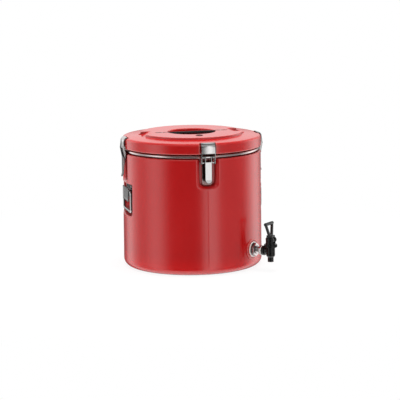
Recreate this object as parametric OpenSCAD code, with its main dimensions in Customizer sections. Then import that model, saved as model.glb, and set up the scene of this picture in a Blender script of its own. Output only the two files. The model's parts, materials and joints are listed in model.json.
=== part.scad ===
// Insulated drink barrel with a clamped lift-off lid, drop handles and a lever tap.
// Z is up and the origin is the centre of the base. The handles lie along X, the front
// latch faces -Y and the tap stands between the front latch and the right handle.

/* [Body] */
// Outer radius of the barrel at its base
body_r = 190; // [180:1:205]
// How much the radius shrinks from the base to the rim
body_draft = 1.5; // [0:0.5:4]
// Height of the moulded shell's rim
body_h = 314; // [295:1:345]
// Rounding of the bottom edge
base_fillet = 20; // [10:1:30]
// Rounding of the rim edge
rim_fillet = 4; // [2:0.5:6]
// Wall of the moulded shell
shell_t = 4; // [3:0.5:5]
// Whole wall from the outside to the inside of the vessel
wall_t = 35; // [32:1:42]
// Radius of the hollow under the base
hollow_r = 122; // [100:1:145]
// Depth of the hollow under the base
hollow_d = 3; // [2:0.5:5]
// Radius of the foam filler plug
plug_hole_r = 18; // [12:1:25]

/* [Vessel] */
// Sheet thickness of the vessel and the lid liner
sheet_t = 1; // [0.8:0.1:1.5]
// Height of the vessel floor above the ground
vessel_floor_z = 33; // [30:1:37]
// Rounding of the vessel's bottom edge
vessel_round = 6; // [4:0.5:8]
// How far the vessel's flange reaches over the shell's rim
flange_w = 22; // [20:0.5:24]
// Half height of the rim bead
bead_r = 5.1; // [4:0.1:6]
// How far the bead lies inside the barrel's side
bead_inset = 4.9; // [4:0.1:8]
// Inner edge of the rim ring, measured in from the bead's centre
ring_w = 14; // [12:0.5:16]

/* [Lid] */
// How far the lid's side lies inside the barrel's base radius
lid_inset = 0.5; // [0:0.5:3]
// Height of the lid's side with its shoulder
lid_side_h = 28.5; // [24:0.5:34]
// Rounding of the lid's shoulder
lid_shoulder = 8; // [4:0.5:10]
// Rise of the lid's top from the shoulder to the raised disc
lid_rise = 4; // [1:0.5:6]
// Radius of the raised disc
disc_r = 140; // [125:1:145]
// Height of the raised disc
disc_h = 6; // [4:0.5:8]
// Draft of the raised disc's side
disc_draft = 1.5; // [0:0.5:3]
// Radius of the grip recess
recess_r = 65; // [55:1:75]
// Depth of the grip recess
recess_d = 26; // [22:1:30]
// Wall of the lid's shell
lid_t = 3.5; // [3:0.5:4]
// Depth of the lid's plug below its lower edge
plug_d = 26; // [20:1:32]
// Gap between the plug and the vessel
plug_gap = 3; // [2:0.5:5]
// Thickness of the lid gasket
gasket_t = 1.9; // [1.5:0.1:2.5]
// Width of the lid gasket
gasket_w = 8; // [6:0.5:9]
// Width of the finger scoops in the raised disc
scoop_w = 64; // [40:1:90]
// Length of the finger scoops
scoop_l = 31; // [20:1:34]
// Depth of the finger scoops at their outer end
scoop_d = 9.5; // [7:0.5:11]

/* [Lid grip] */
// Radius of the grip bar
grip_r = 4.5; // [3.5:0.25:5.5]
// Half length of the grip bar
grip_half = 98; // [90:1:102]
// Radius of the grip screws' shanks
grip_screw_r = 1.6; // [1.4:0.1:2]
// Radius of the vent cap
vent_r = 10; // [8:0.5:12]
// Distance of the vent from the lid's centre
vent_at = 92; // [84:1:98]
// Bore radius of the vent tube
vent_bore = 2.5; // [2:0.25:3]

/* [Latches] */
// Gap between the lever's eye and the rim bead
pivot_gap = 0.7; // [0.5:0.1:3]
// Height of the lever's pivot above the shell's rim
pivot_up = 6; // [5:0.5:7]
// Radius of the lever's pivot bar
pivot_r = 2.5; // [2:0.1:2.8]
// Width of the lever
lever_w = 18; // [15:0.5:20]
// Length of the lever below its pivot
lever_l = 70; // [62:1:76]
// Sheet thickness of lever, base and claw
latch_t = 2; // [1.5:0.25:2.25]
// Radius of the claw's hinge pin
link_r = 2; // [1.6:0.1:2.2]
// Width of the claw plate
claw_w = 38; // [37.5:0.5:42]
// Depth of the claw's hook
hook_d = 5; // [4:0.5:6]
// Distance from the lever's pivot in to the pocket's floor
pocket_d = 17; // [16:0.5:19]
// Half width of the latch pocket at its floor
pocket_half = 23; // [22:0.5:28]
// Depth of the latch pocket below the rim
pocket_h = 73; // [70:1:82]
// Bevel round the pockets
pocket_bevel = 5; // [2:0.5:6]

/* [Handles] */
// Height of the handle pocket's top edge below the latch pocket
handle_drop = 8; // [7:1:16]
// Height of the handle pocket
handle_pocket_h = 86; // [82:1:96]
// Half width of the handle pocket
handle_half = 56; // [55:1:62]
// Distance from the barrel's base radius in to the pocket's floor
handle_pocket_d = 16; // [14:0.5:18]
// Radius of the bail's rod
bail_r = 3.25; // [2.75:0.25:3.5]
// Half width of the bail between the rod centres
bail_half = 48; // [44:1:50]
// Length of the bail from pivot to grip
bail_l = 55; // [48:1:58]
// Bend radius of the bail's corners
bail_bend = 9; // [7:0.5:12]
// Distance of the bail's pivot inside the barrel's base radius
bail_in = 9; // [7:0.5:10]
// Distance of the bail's pivot below the pocket's top edge
bail_down = 21; // [20:0.5:24]
// Sheet thickness of the handle bracket
bracket_t = 2; // [1.5:0.25:2.5]
// Half width of the handle bracket
bracket_half = 37; // [32:1:38]
// How far the bracket's cover reaches below the bail's pivot
cover_down = 28; // [20:1:34]

/* [Tap] */
// Height of the tap's axis above the ground
tap_z = 55; // [50:1:70]
// Distance from the tap pad to the tap barrel's axis
tap_reach = 54.5; // [52:0.5:62]
// Radius of the pad moulded on the barrel
tap_pad_r = 28; // [25:1:32]
// Height of that pad above the barrel's side
tap_pad_h = 1.8; // [1.5:0.1:4]
// Outer radius of the threaded nipple
nipple_r = 10; // [9:0.25:10.5]
// Bore radius of the nipple
nipple_bore = 6.5; // [5:0.25:7]
// Radius of the outer washers
washer_r = 21; // [20:0.5:23]
// Radius of the tap barrel
tap_r = 12; // [11.5:0.25:13]
// Outer radius of the spout
spout_r = 8; // [7.5:0.25:8.5]
// Bore radius of the spout
spout_bore = 5.5; // [5:0.25:6]
// Height of the spout's lower end above the ground
spout_z = 26; // [22:1:28]
// Radius of the tap's stem
stem_r = 2.5; // [2:0.1:3]
// Radius of the tap's pivot pin
tap_pin_r = 1.75; // [1.5:0.05:2]
// Offset of the lever's cam from its pivot
cam_offset = 6; // [5:0.25:7]
// Radius of the lever's cam
cam_r = 8; // [7.5:0.25:9]
// Thickness of the lever loop
loop_t = 6.8; // [5:0.2:7.4]
// Width of the lever loop's legs
loop_leg = 5.5; // [4:0.25:6]
// Radius of the lever loop's crossbar
loop_bar_r = 4.5; // [4:0.1:5.5]
// Height of the lever loop
loop_h = 38; // [35:1:44]
// Half width of the lever loop at its top
loop_half = 19.5; // [18:0.5:24]
// Lean of the lever loop towards the barrel
loop_lean = 9; // [0:1:11]

/* [Hidden] */
$fn = 96;
SIDES = ["front", "right", "back", "left"];
HANDLES = ["right", "left"];
AZIMUTH = [["front", 0], ["right", 90], ["back", 180], ["left", 270]];
tap_azimuth = 45;
function azimuth(side) = [for (a = AZIMUTH) if (a[0] == side) a[1]][0];
fit_gap = 0.2;
run_gap = 0.05;
seat_gap = 0.1;
move_gap = 0.35;
overcut = 1;
far = 30;

// Barrel
body_top_r = body_r - body_draft;
vessel_r = body_r - wall_t;
vessel_out_r = vessel_r + sheet_t;
flange_r = vessel_r + flange_w;
ring_r = body_r - bead_inset - bead_r;
ring_z = body_h + sheet_t;
ring_top = ring_z + 2 * bead_r;
ring_in_r = ring_r - ring_w;

// Lid
lid_r = body_r - lid_inset;
lid_z = ring_top + seat_gap + gasket_t;
lid_edge_z = lid_z + lid_side_h;
disc_z = lid_edge_z + lid_rise;
lid_top = disc_z + disc_h;
recess_z = lid_top - recess_d;
plug_r = vessel_r - plug_gap;
plug_z = lid_z - plug_d;
gasket_r = ring_in_r + gasket_w + 1;
liner_r = gasket_r + 1;
grip_proud = 0.5;
grip_z = lid_top - grip_r + grip_proud;
vent_z = lid_top - 2;

// Latch, in the plane through the barrel's axis, measured from the lever's pivot
eye_r = pivot_r + 2.2;
pivot_x = body_r - bead_inset + eye_r + pivot_gap;
pivot_z = body_h + pivot_up;
link_in = 2.5;
link_down = 15;
lever_out = 3;
lever_in = 6;
face_down = 13;
lip_out = 3.5;
ear_r = 5;
ear_gap = 3;
ear_foot = 12;
plate_gap = 3.5;
ear_back = 6.6;
ear_neck = 4;
ear_neck_up = 1.9;
ear_chin = 4.3;
ear_x = lever_w / 2 + ear_gap;
bar_half = ear_x + latch_t + 2.5;
arm_x = claw_w / 2 - latch_t;
claw_out = 6;
claw_low = 9;
claw_bend = 10;
hook_in = 8.5;
hook_top = lid_edge_z + 2 - pivot_z;
claw_arc_z = hook_top - latch_t / 2 - claw_bend;
claw_arc_x = claw_out - latch_t / 2 - claw_bend;
latch_floor = pivot_x - pocket_d;
pocket_z = body_h - pocket_h;
notch_half = claw_w / 2 + 3;
channel_r = pivot_x - hook_in - 0.5;
ledge_r = channel_r - 4;
ledge_z = pivot_z + hook_top - hook_d - latch_t - move_gap;
rivet_low = 20;
rivet_high = 45;
base_rivets = [rivet_low, rivet_high];
rivet_r = 2;
rivet_head = 3.6;
rivet_head_t = 1.4;
rivet_grip = 1;

// Handle
handle_top = pocket_z - handle_drop;
handle_z = handle_top - handle_pocket_h;
handle_floor = body_r - handle_pocket_d;
bail_x = body_r - bail_in;
bail_z = handle_top - bail_down;
hat_in = bail_r + 0.3;
hat_out = hat_in + bracket_t;
flange_h = 11;
cover_up = 9;
bracket_rivet_y = bracket_half - 8;

// Tap, along the radius through its axis
pad_x = body_r + tap_pad_h;
rubber_t = 2.5;
washer_t = 2;
nut_t = 7;
nut_x = pad_x + rubber_t + washer_t;
tap_axis_x = pad_x + tap_reach;
collar_l = 7;
collar_r = 13;
neck_l = 5;
collar_x = tap_axis_x - tap_r - neck_l - collar_l;
tap_gasket_t = 2;
lock_t = 5;
lock_x = collar_x - tap_gasket_t - lock_t;
boss_r = nipple_r + 6;
vessel_pad_t = 2 + sheet_t + 1;
inner_face = vessel_out_r + 1 - vessel_pad_t;
inner_nut_t = 6;
nipple_in = inner_face - rubber_t - inner_nut_t - 3;
nipple_out = collar_x + collar_l - 1;
barrel_down = 12;
barrel_up = 17;
seat_down = 8;
barrel_low = tap_z - barrel_down;
barrel_top = tap_z + barrel_up;
seat_z = tap_z - seat_down;
cone_h = 5;
chamber_r = tap_r - 4;
skirt_h = 6;
rim_h = 2;
cap_h = 6;
bonnet_wall = 5.5;
guard_wall = 1.5;
bonnet_low = barrel_top - skirt_h;
bonnet_rim = barrel_top + rim_h;
bonnet_top = barrel_top + cap_h;
bonnet_r = tap_r + bonnet_wall;
guard_r = tap_r + guard_wall;
pin_z = bonnet_top + cam_r + seat_gap;
cup_r = spout_bore + 1.5;
cup_top = seat_z + seat_gap + 5;
spring_low = cup_top + 1.5;
spring_r = 6;
spring_wire = 0.6;
spring_turns = 5;
eye_half = 4;
cheek_gap = 0.3;
cheek_t = 4;
cheek_out = eye_half + cheek_gap + cheek_t;
guard_up = 5.5;
guard_top = pin_z + guard_up;
bridge_up = 10;
loop_window = cheek_out - loop_leg + 0.5;
loop_sill = 6;
loop_top = loop_h - loop_bar_r;
lever_plate_l = cam_r + cam_offset + 3;
lever_plate_t = 5;

RED = [0.70, 0.07, 0.08];
STEEL = [0.75, 0.75, 0.76];
BLACK = [0.08, 0.08, 0.08];
SILICONE = [0.85, 0.85, 0.82];
FOAM = [0.92, 0.86, 0.62];

// Places what is drawn with +X pointing outward at an azimuth counted from -Y
module at_azimuth(a) {
  rotate([0, 0, a - 90])
    children();
}

module at_side(side) {
  at_azimuth(azimuth(side))
    children();
}

module at_every(sides) {
  for (s = sides) at_side(s) children();
}

// A profile of radius and height, as thick as w across the radius
module across(w) {
  rotate([90, 0, 0])
    linear_extrude(height = w, center = true)
      children();
}

// The same profile as two cheeks, between y and y + t on both sides
module cheeks(y, t) {
  for (m = [0, 1])
    mirror([0, m, 0])
      translate([0, y + t / 2, 0])
        across(t)
          children();
}

// A cylinder along the radius
module along(x, l, r, fn = 96) {
  translate([x, 0, 0])
    rotate([0, 90, 0])
      cylinder(r = r, h = l, $fn = fn);
}

// A cylinder across the radius
module cross_pin(half, r) {
  rotate([90, 0, 0])
    cylinder(r = r, h = 2 * half, center = true);
}

module hex_nut(x, l, flats, bore) {
  difference() {
    along(x, l, flats / 2 / cos(30), 6);
    along(x - overcut, l + 2 * overcut, bore);
  }
}

module washer(x, l, r, bore) {
  difference() {
    along(x, l, r);
    along(x - overcut, l + 2 * overcut, bore);
  }
}

// A closed barrel shape with a sharp rim, drawn in by t on all sides
module barrel_profile(t) {
  low_r = body_r - t;
  fillet = max(base_fillet - t, 1);
  polygon([[0, t], [low_r - fillet, t], [low_r, t + fillet], [body_top_r - t, body_h - t],
           [0, body_h - t]]);
  translate([low_r - fillet, t + fillet])
    circle(r = fillet);
}

// The corner that the rim's rounding takes away
module rim_corner() {
  x = body_top_r - rim_fillet;
  z = body_h - rim_fillet;
  difference() {
    translate([x, z])
      square(2 * rim_fillet);
    translate([x, z])
      circle(r = rim_fillet);
  }
}

// A pocket from its floor outward, with its sides and lower edge bevelled
module pocket_cut(floor_x, half, low, high) {
  lip = body_top_r - pocket_bevel - 1;
  out = body_r + far;
  wide = half + pocket_bevel + far / 2;
  intersection() {
    translate([0, 0, low - far])
      linear_extrude(height = high - low + 2 * far)
        polygon([[floor_x, -half], [lip, -half], [lip + wide - half, -wide], [out, -wide],
                 [out, wide], [lip + wide - half, wide], [lip, half], [floor_x, half]]);
    across(4 * wide)
      polygon([[floor_x, low], [lip, low], [lip + far, low - far], [out + far, low - far],
               [out + far, high], [floor_x, high]]);
  }
}

module pocket_block(floor_x, half, low, high, grow) {
  translate([floor_x - grow, -half - grow, low - grow])
    cube([body_r - floor_x + far, 2 * (half + grow), high - low + 2 * grow]);
}

module pocket_cuts() {
  at_every(SIDES)
    pocket_cut(latch_floor, pocket_half, pocket_z, body_h + far);
  at_every(HANDLES)
    pocket_cut(handle_floor, handle_half, handle_z, handle_top);
}

module pocket_blocks(grow) {
  at_every(SIDES)
    pocket_block(latch_floor, pocket_half, pocket_z, body_h, grow);
  at_every(HANDLES)
    pocket_block(handle_floor, handle_half, handle_z, handle_top, grow);
}

// The space between shell and vessel, kept t inside the shell's outer faces
module wall_space(t) {
  difference() {
    rotate_extrude()
      difference() {
        barrel_profile(t);
        square([body_r, hollow_d + t]);
      }
    pocket_blocks(t);
  }
}

module tap_hole(r) {
  at_azimuth(tap_azimuth)
    translate([0, 0, tap_z])
      along(vessel_r - far, wall_t + 2 * far, r);
}

module outer_shell() {
  color(RED)
    difference() {
      union() {
        rotate_extrude()
          difference() {
            barrel_profile(0);
            rim_corner();
          }
        at_azimuth(tap_azimuth)
          translate([0, 0, tap_z])
            along(body_r - far / 2, far / 2 + tap_pad_h, tap_pad_r);
      }
      pocket_cuts();
      wall_space(shell_t);
      translate([0, 0, body_h - far])
        cylinder(r = vessel_out_r + fit_gap, h = 2 * far);
      translate([0, 0, -overcut])
        cylinder(r = hollow_r, h = hollow_d + overcut);
      cylinder(r = plug_hole_r, h = far);
      tap_hole(nipple_r + fit_gap);
      at_every(SIDES)
        latch_rivet_places()
          along(-far, 2 * far, rivet_r);
      at_every(HANDLES)
        handle_rivet_places()
          along(-far, 2 * far, rivet_r);
    }
}

module insulation_foam() {
  reach = shell_t + 6;
  color(FOAM)
    difference() {
      wall_space(shell_t + fit_gap);
      rotate_extrude()
        vessel_profile(sheet_t + fit_gap, body_h + far);
      tap_hole(nipple_r + fit_gap);
      at_azimuth(tap_azimuth)
        translate([0, 0, tap_z])
          along(inner_face, vessel_pad_t + fit_gap, boss_r + fit_gap);
      cylinder(r = plug_hole_r + fit_gap, h = hollow_d + 2 * shell_t);
      at_every(SIDES)
        latch_rivet_places()
          along(-reach, reach, rivet_head + fit_gap);
      at_every(HANDLES)
        handle_rivet_places()
          along(-reach, reach, rivet_head + fit_gap);
    }
}

// The inside of the vessel, grown outward by t
module vessel_profile(t, top) {
  r = vessel_r + t;
  low = vessel_floor_z - t;
  bend = vessel_round + t;
  difference() {
    union() {
      translate([0, low])
        square([r - bend, bend]);
      translate([0, low + bend])
        square([r, top - low - bend]);
      translate([r - bend, low + bend])
        circle(r = bend);
    }
    translate([-r, low - overcut])
      square([r, top - low + 2 * overcut]);
  }
}

module inner_vessel() {
  color(STEEL)
    difference() {
      union() {
        rotate_extrude() {
          vessel_profile(sheet_t, body_h + sheet_t);
          translate([0, body_h])
            square([flange_r, sheet_t]);
        }
        at_azimuth(tap_azimuth)
          translate([0, 0, tap_z])
            along(inner_face, vessel_pad_t, boss_r);
      }
      difference() {
        rotate_extrude()
          vessel_profile(0, body_h + far);
        at_azimuth(tap_azimuth)
          translate([0, 0, tap_z])
            along(inner_face, far, boss_r);
      }
      tap_hole(nipple_r + run_gap);
    }
}

module rim_ring() {
  color(STEEL)
    rotate_extrude() {
      translate([ring_in_r, ring_z])
        square([ring_w, 2 * bead_r]);
      translate([ring_r, ring_z + bead_r])
        circle(r = bead_r);
    }
}

module foam_plug() {
  color(RED)
    union() {
      translate([0, 0, hollow_d / 3])
        cylinder(r = plug_hole_r + 4, h = hollow_d * 2 / 3);
      translate([0, 0, hollow_d])
        cylinder(r = plug_hole_r - run_gap, h = shell_t);
    }
}

// The lid's outer shape, drawn in by t on its upper faces
module lid_profile(t, low) {
  r = lid_r - t;
  bend = max(lid_shoulder - t, 1);
  top = lid_edge_z - t;
  polygon([[0, low], [r, low], [r, top - bend], [r - bend, top],
           [disc_r - t, disc_z - t], [disc_r - disc_draft - t, lid_top - t], [0, lid_top - t]]);
  translate([r - bend, top - bend])
    circle(r = bend);
}

// Everything sunk into the lid's top and side, grown by g
module lid_cuts(g) {
  translate([0, 0, recess_z - g])
    cylinder(r = recess_r + g, h = recess_d + far);
  translate([-grip_half - g - fit_gap, -grip_r - g - fit_gap, grip_z - grip_r - g])
    cube([2 * (grip_half + g + fit_gap), 2 * (grip_r + g + fit_gap), far]);
  for (m = [0, 1])
    mirror([m, 0, 0])
      across(scoop_w + 2 * g)
        polygon([[disc_r - scoop_l - g, lid_top - g], [disc_r + g, lid_top - scoop_d - g],
                 [disc_r + g, lid_top + far], [disc_r - scoop_l - g, lid_top + far]]);
  at_every(SIDES) {
    translate([ledge_r - g, -notch_half - g, ledge_z - g])
      cube([far, 2 * (notch_half + g), far]);
    translate([channel_r - g, -notch_half - g, lid_z - far])
      cube([far, 2 * (notch_half + g), lid_side_h + 2 * far]);
  }
  translate([0, -vent_at, vent_z - g])
    cylinder(r = vent_r + fit_gap + g, h = far);
}

module grip_screw_places() {
  for (m = [0, 1])
    mirror([m, 0, 0])
      translate([(recess_r + grip_half) / 2, 0, 0])
        children();
}

// The inside of the lid's shell, with a gap g to its walls
module lid_space(g) {
  difference() {
    rotate_extrude()
      union() {
        difference() {
          lid_profile(lid_t + g, lid_z + lid_t + g);
          translate([-far, lid_z])
            square([far, lid_top]);
        }
        translate([0, lid_z])
          square([liner_r + fit_gap - g, 2 * lid_t]);
      }
    lid_cuts(lid_t + g);
    grip_screw_places()
      translate([0, 0, grip_z - far / 2 - g])
        cylinder(r = grip_screw_r + lid_t + g, h = far / 2);
  }
}

module lid_shell() {
  color(RED)
    difference() {
      rotate_extrude()
        lid_profile(0, lid_z);
      lid_cuts(0);
      lid_space(0);
      translate([0, 0, lid_z - overcut])
        cylinder(r = liner_r + fit_gap, h = 2 * overcut);
      translate([0, -vent_at, lid_z])
        cylinder(r = 2 * vent_bore + fit_gap, h = 2 * far);
      grip_screw_places()
        translate([0, 0, grip_z - far / 2 + lid_t])
          cylinder(r = grip_screw_r, h = far);
    }
}

module lid_foam() {
  color(FOAM)
    difference() {
      union() {
        lid_space(fit_gap);
        translate([0, 0, plug_z + sheet_t + fit_gap])
          cylinder(r = plug_r - sheet_t - fit_gap, h = plug_d + lid_t);
      }
      translate([0, 0, lid_z - overcut])
        difference() {
          cylinder(r = liner_r + far, h = sheet_t + overcut + fit_gap);
          cylinder(r = plug_r - sheet_t - fit_gap, h = far);
        }
      lid_cuts(lid_t + fit_gap);
      translate([0, -vent_at, plug_z])
        cylinder(r = 2 * vent_bore + fit_gap, h = plug_d + 2 * far);
    }
}

module lid_liner() {
  color(STEEL)
    difference() {
      union() {
        translate([0, 0, lid_z])
          cylinder(r = liner_r, h = sheet_t);
        translate([0, 0, plug_z])
          cylinder(r = plug_r, h = plug_d + overcut / 2);
      }
      translate([0, 0, plug_z + sheet_t])
        cylinder(r = plug_r - sheet_t, h = plug_d + far);
      translate([0, -vent_at, plug_z - overcut])
        cylinder(r = 2 * vent_bore + run_gap, h = far);
    }
}

module lid_gasket() {
  color(SILICONE)
    translate([0, 0, lid_z - gasket_t])
      difference() {
        cylinder(r = gasket_r, h = gasket_t);
        translate([0, 0, -overcut])
          cylinder(r = gasket_r - gasket_w, h = gasket_t + 2 * overcut);
      }
}

module grip_bar() {
  color(STEEL)
    difference() {
      translate([0, 0, grip_z])
        rotate([0, 90, 0])
          cylinder(r = grip_r, h = 2 * grip_half, center = true);
      grip_screw_places() {
        translate([0, 0, grip_z - far])
          cylinder(r = grip_screw_r, h = 2 * far);
        translate([0, 0, grip_z + grip_r - 2])
          cylinder(r = 2 * grip_screw_r, h = far);
      }
    }
}

module grip_screws() {
  color(STEEL)
    grip_screw_places() {
      translate([0, 0, grip_z - far / 2 + lid_t])
        cylinder(r = grip_screw_r, h = far / 2 - lid_t + grip_r - 1.5);
      translate([0, 0, grip_z + grip_r - 2])
        cylinder(r = 2 * grip_screw_r - run_gap, h = 1.6);
    }
}

module vent_cap() {
  color(BLACK)
    translate([0, -vent_at, vent_z]) {
      cylinder(r = vent_r, h = 2);
      translate([0, 0, 2])
        cylinder(r1 = vent_r, r2 = vent_r - 1.2, h = 1.2);
    }
}

module vent_tube() {
  color(BLACK)
    translate([0, -vent_at, plug_z])
      difference() {
        cylinder(r = 2 * vent_bore, h = vent_z - plug_z);
        translate([0, 0, -overcut])
          cylinder(r = vent_bore, h = vent_z - plug_z - 1 + overcut);
      }
}

module at_pivot() {
  translate([pivot_x, 0, pivot_z])
    children();
}

module latch_rivet_places() {
  for (h = base_rivets)
    translate([latch_floor, 0, pocket_z + h])
      children();
}

// Base plate on the pocket's floor, with two ears that carry the lever's pivot
module latch_base() {
  plate = pocket_h + pivot_up - 2;
  floor_out = -pocket_d;
  color(STEEL)
    difference() {
      at_pivot()
        union() {
          difference() {
            translate([floor_out, -ear_x - latch_t, -plate])
              cube([latch_t, 2 * (ear_x + latch_t), plate - pivot_up - plate_gap]);
            for (m = [0, 1])
              mirror([0, m, 0])
                translate([floor_out, ear_x + latch_t, -plate])
                  rotate([45, 0, 0])
                    cube([far, 6, 6], center = true);
          }
          cheeks(ear_x, latch_t)
            union() {
              circle(r = ear_r);
              polygon([[floor_out, -pivot_up - ear_foot], [floor_out, -pivot_up - plate_gap],
                       [-ear_back, -pivot_up - fit_gap], [-ear_neck, ear_neck_up],
                       [ear_r / 2, -ear_chin]]);
            }
        }
      at_pivot()
        cross_pin(bar_half + overcut, pivot_r);
      latch_rivet_places()
        along(-overcut, far, rivet_r);
    }
}

module latch_rivets() {
  color(STEEL)
    at_every(SIDES)
      latch_rivet_places() {
        along(-shell_t - rivet_grip, shell_t + latch_t + 2 * rivet_grip, rivet_r - run_gap);
        along(latch_t, rivet_head_t, rivet_head);
        along(-shell_t - rivet_head_t, rivet_head_t, rivet_head);
      }
}

module latch_pivots() {
  color(STEEL)
    at_every(SIDES)
      at_pivot() {
        cross_pin(bar_half, pivot_r - run_gap);
        for (m = [0, 1])
          mirror([0, m, 0])
            translate([0, bar_half, 0])
              rotate([90, 0, 0])
                cylinder(r = pivot_r + 0.8, h = bar_half - ear_x - latch_t - fit_gap);
      }
}

module latch_lever() {
  low = -lever_l;
  color(STEEL)
    at_pivot()
      difference() {
        intersection() {
          union() {
            cheeks(lever_w / 2 - latch_t, latch_t)
              union() {
                circle(r = eye_r);
                polygon([[-eye_r, 0], [eye_r, 0], [lever_out, -face_down], [lever_out, low + 12],
                         [lever_out - latch_t, low + 8], [-0.5, low + 30], [-lever_in, -link_down - 7]]);
              }
            across(lever_w)
              polygon([[lever_out - latch_t, -face_down], [lever_out, -face_down], [lever_out, low + 10],
                       [lever_out + lip_out, low], [lever_out + lip_out - latch_t, low],
                       [lever_out - latch_t, low + 9]]);
          }
          union() {
            translate([-far / 2, -lever_w / 2, low + lever_w / 2])
              cube([far, lever_w, lever_l + far]);
            translate([0, 0, low + lever_w / 2])
              along(-far / 2, far, lever_w / 2);
          }
        }
        cross_pin(lever_w, pivot_r);
        translate([-link_in, 0, -link_down])
          cross_pin(lever_w, link_r);
      }
}

module latch_link() {
  color(STEEL)
    at_pivot()
      translate([-link_in, 0, -link_down])
        cross_pin(claw_w / 2 + 1, link_r - run_gap);
}

// Claw plate: two arms from the link pin, joined above the pivot and bent over the lid's edge
module latch_claw() {
  inner = claw_out - latch_t;
  color(STEEL)
    at_pivot()
      difference() {
        union() {
          cheeks(arm_x, latch_t)
            union() {
              translate([-link_in, -link_down])
                circle(r = link_r + 2);
              polygon([[-link_in - link_r - 2, -link_down], [-link_in + link_r + 1.4, -link_down - 1.4],
                       [claw_out, claw_low], [claw_out, claw_low + 3], [inner, claw_low + 3]]);
            }
          across(claw_w)
            union() {
              translate([inner, claw_low])
                square([latch_t, claw_arc_z - claw_low]);
              translate([claw_arc_x, claw_arc_z])
                intersection() {
                  difference() {
                    circle(r = claw_bend + latch_t / 2);
                    circle(r = claw_bend - latch_t / 2);
                  }
                  square(2 * far);
                }
              translate([-hook_in, hook_top - latch_t])
                square([claw_arc_x + hook_in, latch_t]);
              translate([-hook_in, hook_top - latch_t - hook_d])
                square([latch_t, hook_d + latch_t / 2]);
            }
        }
        translate([-link_in, 0, -link_down])
          cross_pin(claw_w, link_r);
      }
}

module at_bail() {
  translate([bail_x, 0, bail_z])
    children();
}

module handle_rivet_places() {
  for (y = [-bracket_rivet_y, bracket_rivet_y], z = [-1, 1])
    translate([handle_floor, y, bail_z + z * (hat_out + flange_h / 2)])
      children();
}

// A hat-shaped strap that traps the bail's upper bar, with a cover plate on its front
module handle_bracket() {
  floor_in = handle_floor - bail_x;
  color(STEEL)
    difference() {
      at_bail()
        across(2 * bracket_half)
          difference() {
            union() {
              circle(r = hat_out);
              translate([hat_in, -cover_down])
                square([bracket_t, cover_down + cover_up]);
              translate([floor_in, -hat_out])
                square([-floor_in, 2 * hat_out]);
              translate([floor_in, -hat_out - flange_h])
                square([bracket_t, 2 * (hat_out + flange_h)]);
            }
            circle(r = hat_in);
            translate([floor_in - overcut, -hat_in])
              square([overcut - floor_in, 2 * hat_in]);
          }
      handle_rivet_places()
        along(-overcut, bracket_t + 2 * overcut, rivet_r);
    }
}

module handle_rivets() {
  color(STEEL)
    at_every(HANDLES)
      handle_rivet_places() {
        along(-shell_t - 1, shell_t + bracket_t + 2, rivet_r - run_gap);
        along(bracket_t, 1.6, rivet_head);
        along(-shell_t - 1.4, 1.4, rivet_head);
      }
}

// A closed ring of bent rod, hanging from its upper bar
module handle_bail() {
  straight_y = bail_half - bail_bend;
  straight_z = bail_l / 2 - bail_bend;
  color(STEEL)
    at_bail()
      translate([0, 0, -bail_l / 2]) {
        for (z = [-1, 1])
          translate([0, 0, z * bail_l / 2])
            cross_pin(straight_y, bail_r);
        for (y = [-1, 1])
          translate([0, y * bail_half, -straight_z])
            cylinder(r = bail_r, h = 2 * straight_z);
        for (turn = [0, 90, 180, 270], q = [turn / 90])
          translate([0, (q == 0 || q == 3 ? 1 : -1) * straight_y, (q < 2 ? 1 : -1) * straight_z])
            rotate([turn, 0, 0])
              rotate([0, 90, 0])
                rotate([0, 0, 90])
                  rotate_extrude(angle = 90)
                    translate([bail_bend, 0])
                      circle(r = bail_r);
      }
}

module at_tap() {
  at_azimuth(tap_azimuth)
    translate([0, 0, tap_z])
      children();
}

// Places what is drawn about the tap barrel's own upright axis
module at_tap_axis() {
  at_azimuth(tap_azimuth)
    translate([tap_axis_x, 0, 0])
      children();
}

module tap_nipple() {
  color(STEEL)
    at_tap()
      washer(nipple_in, nipple_out - nipple_in, nipple_r, nipple_bore);
}

module tap_outer_seal() {
  color(BLACK)
    at_tap()
      washer(pad_x, rubber_t, washer_r, nipple_r + run_gap);
}

module tap_washer() {
  color(STEEL)
    at_tap()
      washer(pad_x + rubber_t, washer_t, washer_r - 1, nipple_r + run_gap);
}

module tap_clamp_nut() {
  color(STEEL)
    at_tap()
      hex_nut(nut_x, nut_t, 2 * nipple_r + 12, nipple_r + run_gap);
}

module tap_inner_seal() {
  color(SILICONE)
    at_tap()
      washer(inner_face - rubber_t, rubber_t, boss_r - 1, nipple_r + run_gap);
}

module tap_inner_nut() {
  color(STEEL)
    at_tap()
      hex_nut(inner_face - rubber_t - inner_nut_t, inner_nut_t, 2 * nipple_r + 7, nipple_r + run_gap);
}

module tap_lock_nut() {
  color(STEEL)
    at_tap()
      hex_nut(lock_x, lock_t, 2 * nipple_r + 5, nipple_r + run_gap);
}

module tap_gasket() {
  color(SILICONE)
    at_tap()
      washer(collar_x - tap_gasket_t, tap_gasket_t, collar_r - 0.5, nipple_r + run_gap);
}

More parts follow.
